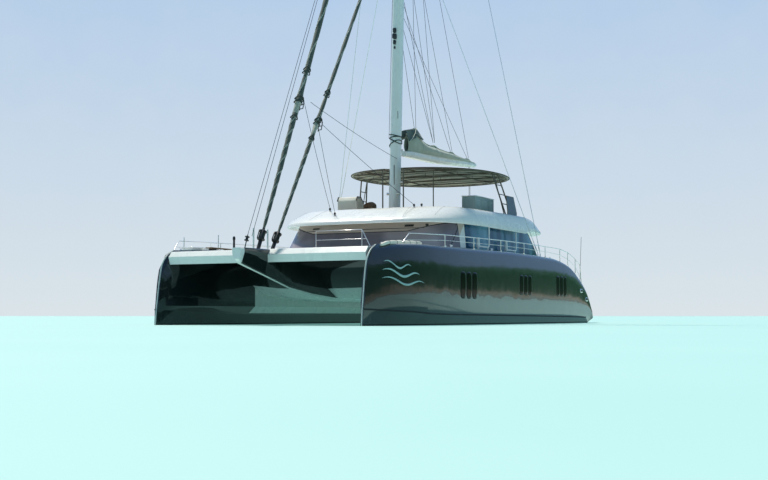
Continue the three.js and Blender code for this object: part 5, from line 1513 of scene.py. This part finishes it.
FOOT = [(-1.0, 0.2), (-3, 0.3), (-5.5, 0.3), (-8.6, 0.15)]
foot = [(x, half * 0.82, eased(BAG, x)[0] + 0.02) for x, half in FOOT]
belongs(tubes("bag_edge_tape", both_sides([front]) + [foot], 0.014, trim_tape), "boom")
zip_line = [(x, 0, bag_ring(x)[14][2] + 0.004) for x in xs[12::2]]
belongs(tubes("bag_zip", [zip_line], 0.012, black_fitting), "boom")


# Lazy jacks
# Thin polyester lines run from the spreaders and mast down to each peak of the bag.
# Braided polyester line: dark blue-grey, matt
dark_line = mottled("dark_braided_line", "#2c3742", "#1f2830", 0.05, 0.7, 0.85, 0.01, 0.001)
# Columns: peak of the bag, its height, distance out along the spreader
JACKS = [(-1.77, 9.3, 0.6), (-3.9, 8.87, 0.35), (-3.9, 8.87, 0.95), (-6.0, 8.68, 0.75), (-8.1, 8.6, 1.45)]
jacks = []
for peak, height, out in JACKS:
    for side in (1, -1):
        start = (mast_x(SPREADER) - 0.17 * out, side * out, SPREADER + 0.053 * out + 0.03)
        jacks.append((start, (peak, side * 0.04, height)))
for k, (start, stop) in enumerate(jacks):
    run = [Vector(start).lerp(Vector(stop), t / 24) for t in range(25)]
    jack = tubes(f"lazy_jack_{k + 1}", [run], 0.009, dark_line)
    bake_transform(jack)


# Furled headsails
# The genoa and the staysail are rolled round their stays under a dark UV strip, whose edge winds down
# the roll as a pale line. A drum turns each stay at its foot.
# UV strip: dark grey-green acrylic sewn on the leech, with creases and a weave drawn at 20 mm
uv_strip = mottled("dark_uv_strip_cloth", "#565f58", "#343c38", 0.4, 0.8, 0.92, 0.02, 0.004,
                   sheen_weight=0.25)
# Sailcloth edge: grey-white laminate showing between the turns
sail_edge = mottled("grey_sail_laminate", "#b3b4a9", "#8b8f86", 0.3, 0.6, 0.8, 0.02, 0.002)
# Columns: share of the stay, radius at full size
ROLL = [(0.0, 0.04), (0.03, 0.07), (0.042, 0.085), (0.09, 0.12), (0.25, 0.145), (0.55, 0.138), (0.9, 0.085),
        (0.985, 0.035), (1.0, 0.014)]
# Columns: tack x, seat, height of the head and of the clew, size of the roll
SAILS = {
    "furled_genoa": (11.72, 2.8583, 28.7, 8.95, 0.79),
    "furled_staysail": (10.75, 2.868, 20.35, 8.3, 0.62),
}
# The furler's radii and heights: a stem and a drum between two flanges
FURLER = [(0, 0.0), (0.03, 0.0), (0.03, 0.37), (0.15, 0.4), (0.152, 0.43), (0.09, 0.45), (0.09, 0.7),
          (0.15, 0.72), (0.152, 0.76), (0.06, 0.79), (0.045, 0.92), (0, 0.92)]
# Rises from the clew at which the roll is lashed, and the lashing's size against the roll's
LASHED = [(1.35, 1.25), (1.2, 1.3), (0.05, 1.5), (-0.1, 1.45), (-0.75, 1.25)]
# Ends of rope round the clew's knot
EARS = [
    [(-0.1, 0.02, 0.25), (-0.3, 0.06, 0.0), (-0.28, 0.02, -0.3), (-0.1, 0, -0.35)],
    [(-0.08, -0.04, 0.1), (-0.22, -0.07, -0.12), (-0.1, -0.03, -0.4)],
    [(-0.05, 0.05, 0.3), (-0.2, 0.1, 0.1), (-0.24, 0.08, -0.15), (-0.08, 0.02, -0.2)],
]
# The turns crowd together below the clew, where the sheets are wound on with the sail
for node, (tack_x, seat, head_z, clew_z, size) in SAILS.items():
    foot, head = Vector((tack_x, 0, seat)), Vector((mast_x(head_z) + 0.2, 0, head_z))
    run = head - foot
    length, lie = run.length, facing(run, up=(0, 1, 0))
    back = lie.inverted()
    rings = []

    def wound(share):
        """The angle the roll has turned through at a share of its length."""
        z = share * length
        low = (clew_z - foot.z) / run.z * length
        return 2 * math.pi * (min(z, low) / 0.62 + max(z - low, 0) / 1.7)

    steps = int(length / 0.075)
    for k in range(steps + 1):
        share = 0.031 + (0.978 - 0.031) * k / steps
        radius = eased(ROLL, share)[0] * size
        above = foot.z + run.z * share - clew_z
        radius *= 1 + 0.3 * math.exp(-(above / 0.3) ** 2) - 0.18 * math.exp(-((above - 1.1) / 0.12) ** 2)
        radius *= 1 + 0.05 * math.sin(1.9 * share * length) * math.sin(0.7 * share * length)
        ring = []
        for a in angles(24):
            lip = ((2 * a - wound(share)) / (2 * math.pi)) % 1
            r = radius * (0.82 + 0.2 * lip)
            ring.append(foot + lie @ Vector((r * math.cos(a), r * math.sin(a), share * length)))
        rings.append(ring)
    shape = lofted(rings)
    for face in shape.faces:
        middle = back @ (face.calc_center_median() - foot)
        bearing = math.atan2(middle.y, middle.x)
        lip = ((2 * bearing - wound(middle.z / length)) / (2 * math.pi)) % 1
        leech = lip > 0.8 and (lip + math.sin(5 * middle.z) * 0.08) % 1 > 0.8
        patch = abs(middle.z * run.z / length + foot.z - clew_z + 0.35) < 0.22 and abs(bearing) < 1.9
        if leech or patch:
            face.material_index = 1
    roll = mesh_object(node + "_roll", shape, [uv_strip, sail_edge], 50)
    stands_for(roll, node)
    # The furler: its drum, a cage of bars round it and link plates to the deck
    bars = [turned_part(FURLER, 36)]
    for side in (-1, 1):
        bars.append(block((-0.035, side * 0.06 - 0.008, 0.0), (0.035, side * 0.06 + 0.008, 0.42), 0.004))
        bars.append(block((0.125, side * 0.08 - 0.02, 0.4), (0.145, side * 0.08 + 0.02, 0.76), 0.004))
    furler = slid(gathered(*bars), to=foot, turn=lie)
    for vert in furler.verts:
        vert.co.z = max(vert.co.z, foot.z + 0.002)
    belongs(mesh_object(node + "_furler", furler, black_fitting, 35))
    stay = [foot + run * 0.975, head - run.normalized() * 0.02]
    belongs(tubes(node + "_stay", [stay], 0.012, stainless))
    coils = [foot + lie @ Vector((0.105 * math.cos(a), 0.105 * math.sin(a), 0.47 + 0.0042 * a))
             for a in [0.35 * k for k in range(143)]]
    belongs(tubes(node + "_furling_line", [coils], 0.011, webbing))
    guide = [(tack_x + 0.02, -0.2, seat - 0.004), (tack_x + 0.02, -0.2, seat + 0.78)]
    belongs(tubes(node + "_guide", [guide], 0.03, stainless, sides=8))
    # Lashings and the bundle of knots at the clew
    turns = []
    for rise, wide in LASHED:
        share = (clew_z + rise - foot.z) / run.z
        r = eased(ROLL, share)[0] * size * wide
        up = share * length
        turns.append([foot + lie @ Vector((r * math.cos(a), r * math.sin(a), up + 0.05 * math.sin(2 * a)))
                      for a in angles(20)])
    belongs(tubes(node + "_lashings", turns, 0.022, webbing, closed=True))
    knot = foot + run * ((clew_z - foot.z) / run.z)
    ears = [[knot + Vector(point) for point in ear] for ear in EARS]
    belongs(tubes(node + "_clew_lines", ears, 0.02, webbing))


# Standing rigging
# Stainless wire runs from a bottle screw at each chainplate to the mast's tangs.
# Columns: which shroud, its chainplate's x and the height of its tang
SHROUDS = [("cap", -3.65, 34.4), ("lower", -3.35, 19.95)]
CHAINPLATE_Y = 5.57
SCREW = [(0.0, 0.0), (0.016, 0.01), (0.016, 0.12), (0.024, 0.14), (0.026, 0.42), (0.016, 0.44), (0.015, 0.6),
         (0.0, 0.61)]
bodies = []
for which, x, head in SHROUDS:
    reach = MAST["wide"] * mast_share(head) + 0.04
    for side, name in ((1, "port"), (-1, "starboard")):
        y = side * CHAINPLATE_Y
        low, top = Vector((x, y, 3.24)), Vector((mast_x(head), side * (reach + 0.003), head - 0.02))
        wire = tubes(f"{which}_shroud_wire_{name}", [[low, top]], 0.013, stainless)
        stands_for(wire, f"{which}_shroud_{name}")
        bodies.append(slid(turned_part(SCREW, 20), to=low, turn=facing(top - low, up=(1, 0, 0))))
        bodies.append(block((x - 0.05, y - 0.012, 3.0), (x + 0.05, y + 0.012, 3.235), 0.006))
belongs(mesh_object("shroud_screws", gathered(*bodies), stainless, 35))


# Running rigging
# Dark braided sheets and halyards hang taut between the rolls, the mast and blocks on the coachroof. The
# mainsheet drops from the boom's end, aft of the hardtop.
def taut(start, stop, sag=0.0, steps=24):
    """Points along a line between two places, hanging down a little in the middle."""
    start, stop = Vector(start), Vector(stop)
    shares = [k / steps for k in range(steps + 1)]
    return [start.lerp(stop, t) - Vector((0, 0, sag * 4 * t * (1 - t))) for t in shares]


def lead_block(at, out, radius=0.06):
    """A bmesh pulley block: two cheeks and a sheave between them, on a round foot."""
    foot = [(0, 0), (0.04, 0), (0.036, 0.012), (0.014, 0.02), (0.012, 0.045), (0, 0.045)]
    shapes = [turned_part(foot, 20)]
    for side, share in ((-1, 1), (1, 1), (0, 0.8)):
        disc = turned_part([(0, -0.007), (radius * share, -0.006), (radius * share, 0.006), (0, 0.007)], 24)
        shapes.append(slid(disc, to=(0, side * 0.018, radius + 0.03), turn=CROSSWISE))
    return slid(gathered(*shapes), to=at - Vector((0, 0, 0.004)), turn=facing(out, up=(0, 1, 0)))


LEADS = [over_roof(3.0, 2.26), over_roof(3.12, -1.85), over_roof(3.89, -1.16), over_roof(2.75, 2.5)]
TRAVELLER = over_roof(-8.35, 0)
blocks = [lead_block(at, (0.1, 0, 1)) for at in LEADS] + [lead_block(TRAVELLER, (0, 0, 1), 0.075)]
belongs(mesh_object("sheet_leads", gathered(*blocks), black_fitting, 35))
lines = [
    taut((8.22, 0.16, 8.95), (0.55, 0.21, 7.54), 0.08),
    taut((8.22, -0.13, 8.95), LEADS[1] + Vector((0, 0, 0.1)), 0.1),
    taut((7.2, 0.1, 8.2), LEADS[0] + Vector((0, 0, 0.1)), 0.06),
    taut((7.2, -0.1, 8.2), LEADS[2] + Vector((0, 0, 0.1)), 0.06),
    taut((12.42, 0, 3.36), (mast_x(29.8) + 0.32, 0, 29.8)),
    taut((12.3, 0.1, 3.3), (mast_x(30.1) + 0.3, 0.05, 30.1)),
    taut((mast_x(31) + 0.22, -0.12, 31), (mast_x(8.5) + 0.3, -0.2, 8.5)),
]
belongs(tubes("sheets_and_halyards", lines, 0.0095, dark_line))
for k, y in enumerate((-0.03, 0.03)):
    start, stop = (-8.3, y, 8.26), (TRAVELLER.x, y * 0.7, TRAVELLER.z + 0.12)
    fall = tubes(f"mainsheet_{k + 1}", [taut(start, stop)], 0.011, dark_line)
    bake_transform(fall)
# A third, light furler with no sail on it leans aft on the nose
NOSE = [(0, 0), (0.02, 0), (0.02, 0.3), (0.085, 0.32), (0.09, 0.34), (0.05, 0.36), (0.05, 0.44),
        (0.09, 0.46), (0.085, 0.48), (0.02, 0.5), (0.018, 0.56), (0, 0.56)]
nose = slid(turned_part(NOSE), to=(12.62, 0, 2.83), turn=facing((-0.38, 0, 1), up=(0, 1, 0)))
belongs(mesh_object("nose_furler", nose, black_fitting, 35))


# Rails
# Stainless tube rails with a thinner bar at half height stand round the side decks and across the
# foredeck, each post in a round base plate.
for node in ("side_rail_port", "side_rail_starboard", "foredeck_rail"):
    dressed(node, stainless, sharp=60)
BASE = [(0, 0), (0.048, 0), (0.046, 0.008), (0.026, 0.016), (0.021, 0.05), (0, 0.05)]
bases = []
for x in (7.0, 4.3, 1.4, -1.4, -4.2, -6.3, -7.5, -8.7):
    y = HULL_Y + eased(SECTIONS, x)[1] - 0.13
    point, normal, _, _ = hull_tree.ray_cast(Vector((x, y, 6)), Vector((0, 0, -1)))
    bases.append(slid(turned_part(BASE, 20), to=point - normal * 0.003, turn=facing(normal, up=(1, 0, 0))))
on_both_sides(mesh_object("rail_bases_port", gathered(*bases), stainless, 35))


# Posts and aerial
# Loose stanchions stand in sockets on the starboard bow beside a black bollard, and a whip aerial
# leans aft from its base on the port quarter.
posts = []
for x, y, top in ((9.75, 4.9, 3.55), (7.35, 4.9, 3.79), (7.18, 4.9, 3.46)):
    posts.append([(x, -y, deck_height(x, y) - 0.01), (x, -y, top)])
belongs(tubes("bow_posts", posts, 0.019, stainless))
BOLLARD = [(0, 0), (0.085, 0), (0.085, 0.015), (0.05, 0.03), (0.045, 0.5), (0.06, 0.52), (0.06, 0.6),
           (0.04, 0.66), (0, 0.67)]
bollard = slid(turned_part(BOLLARD), to=(7.05, -4.3, deck_height(7.05, 4.3) - 0.003))
belongs(mesh_object("bow_bollard", bollard, black_fitting, 35))
low = deck_height(-9.87, 5.4)
aerial = [[(-9.87, 5.4, low), (-9.87, 5.4, low + 0.1)], [(-9.88, 5.4, low + 0.08), (-10.34, 5.4, 4.42)]]
belongs(tubes("whip_aerial", aerial, 0.01, black_fitting))
AERIAL_BASE = [(0, 0), (0.05, 0), (0.05, 0.02), (0.03, 0.05), (0.028, 0.3), (0.016, 0.34), (0, 0.34)]
leaning = facing((-0.2, 0, 1), up=(0, 1, 0))
base = slid(turned_part(AERIAL_BASE, 24), to=(-9.865, 5.4, low - 0.003), turn=leaning)
belongs(mesh_object("aerial_base", base, black_fitting, 35))


# Vents and wiring under the brow
# Black louvred vents are let into the header over the windscreen, and a thin cable is clipped along it.
wall_tree = BVHTree.FromBMesh(reshaped(NODES["salon_front_wall"]))
vents = []
for y, z, wide, tall in ((2.3, 4.2, 0.42, 0.13), (3.05, 4.22, 0.14, 0.14), (-2.3, 4.2, 0.36, 0.09)):
    point, normal, _, _ = wall_tree.ray_cast(Vector((7, y, z)), Vector((-1, 0, 0)))
    if point:
        slats = [slid(plate(wide * 0.84, 0.012, 0.005, 0.018, 0.002), to=(0, tall * share, 0))
                 for share in (-0.25, 0, 0.25)]
        vent = gathered(plate(wide, tall, min(wide, tall) * 0.3, 0.012, 0.004), *slats)
        vents.append(slid(vent, to=point - normal * 0.003, turn=facing(normal)))
belongs(mesh_object("brow_vents", gathered(*vents), black_fitting, 35))
CABLE_Z, CABLE_STEP, CABLE_LIFT = 4.09, 0.12, 0.008
cable = []
for k in range(-26, 27):
    hit = wall_tree.ray_cast(Vector((7, k * CABLE_STEP, CABLE_Z)), Vector((-1, 0, 0)))[0]
    if hit:
        cable.append(hit + Vector((CABLE_LIFT, 0, 0)))
belongs(tubes("brow_cable", [cable], 0.012, black_fitting))


# Hatch lids
# Each bow locker closes with a white moulded lid on two hinges, with a smoked pane bonded into it.
LID_TOP = 3.149
for side, hand in (("port", 1), ("starboard", -1)):
    dressed("hatch_lid_" + side, white_gelcoat, 0.01)
    pane = slid(plate(0.44, 0.46, 0.06, 0.006, 0.002), to=(8.53, hand * HULL_Y, LID_TOP))
    belongs(mesh_object("hatch_pane_" + side, pane, smoked), "hatch_lid_" + side)
    straps = []
    for y in (hand * HULL_Y - 0.2, hand * HULL_Y + 0.2):
        straps.append(slid(plate(0.12, 0.05, 0.015, 0.006, 0.002), to=(8.315, y, LID_TOP)))
        knuckle = turned_part([(0, -0.03), (0.009, -0.03), (0.009, 0.03), (0, 0.03)], 16)
        straps.append(slid(knuckle, to=(8.258, y, LID_TOP + 0.003), turn=CROSSWISE))
    hinges = mesh_object("hatch_hinges_" + side, gathered(*straps), stainless, 35)
    belongs(hinges, "hatch_lid_" + side)


# Deck gear on the bows
# An awning in off-white canvas lies rolled and strapped along the port bow. A teak boarding plank rests
# on chocks on the starboard bow, with a low white locker ahead of it.
def awning(path, radius):
    """A bmesh roll of soft canvas along a path, swollen between its straps and flat beneath."""
    rings = []
    for k, at in enumerate(path):
        share = k / (len(path) - 1)
        along = path[min(k + 1, len(path) - 1)] - path[max(k - 1, 0)]
        lie = facing(along)
        swell = 0.86 + 0.16 * abs(math.sin(6 * math.pi * share))
        fat = radius * math.sin(math.pi * min(max(share, 0.004), 0.996)) ** 0.14 * swell
        ring = []
        for a in angles(28):
            r = fat * (1 + 0.05 * math.cos(2 * a + 9 * share) + 0.03 * math.sin(5 * a + 31 * share))
            ring.append(at + lie @ Vector((r * math.cos(a), max(r * math.sin(a), -0.6 * radius), 0)))
        rings.append(ring)
    return lofted(rings)


lie = []
for k in range(81):
    share = k / 80
    x, y = 10.9 - 2.7 * share, 4.74 + 0.33 * share ** 0.7
    lie.append(Vector((x, y, deck_height(x, y) + 0.056)))
roll = belongs(mesh_object("bow_awning", awning(lie, 0.09), canvas, 60))
straps = []
for k in (13, 27, 40, 53, 67):
    turn = facing(lie[k + 1] - lie[k - 1])
    ring = [(0.082 * math.cos(a), max(0.082 * math.sin(a), -0.054)) for a in angles(24)]
    straps.append([lie[k] + turn @ Vector((across, up, 0)) for across, up in ring])
belongs(tubes("awning_straps", straps, 0.007, webbing, closed=True))
plank = block((7.75, -4.15, 3.11), (9.3, -3.85, 3.15), 0.01)
belongs(mesh_object("boarding_plank", plank, teak))
chocks = [block((x, -4.17, deck_height(x + 0.03, 4.0) - 0.004), (x + 0.06, -3.83, 3.111), 0.008)
          for x in (7.95, 9.0)]
belongs(mesh_object("plank_chocks", gathered(*chocks), rubber))
lid = block((9.25, -4.84, 3.09), (10.0, -4.3, 3.13), 0.014, 3)
body = block((9.28, -4.81, 2.99), (9.97, -4.33, 3.092), 0.01)
belongs(mesh_object("bow_locker", gathered(lid, body), white_gelcoat))


# Lift platform
# A broad platform planked in teak hangs between the sterns on two guides and lowers into the water. A
# rubber fender runs round its aft edge.
dressed("lift_platform", [white_gelcoat, teak], 0.01,
        zone=lambda middle, normal: int(normal.z > 0.9 and middle.z > 0.7))
(aft, inner, _), (front, outer, _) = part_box("lift_platform")
FENDER_Z, PROUD, CORNER = 0.7, 0.004, 0.1
fender = [(front - 0.6, inner - PROUD), (aft + CORNER, inner - PROUD), (aft - PROUD, inner + CORNER),
          (aft - PROUD, outer - CORNER), (aft + CORNER, outer + PROUD), (front - 0.6, outer + PROUD)]
fender = [(x, y, FENDER_Z) for x, y in fender]
belongs(tubes("platform_fender", [fender], 0.018, rubber), "lift_platform")
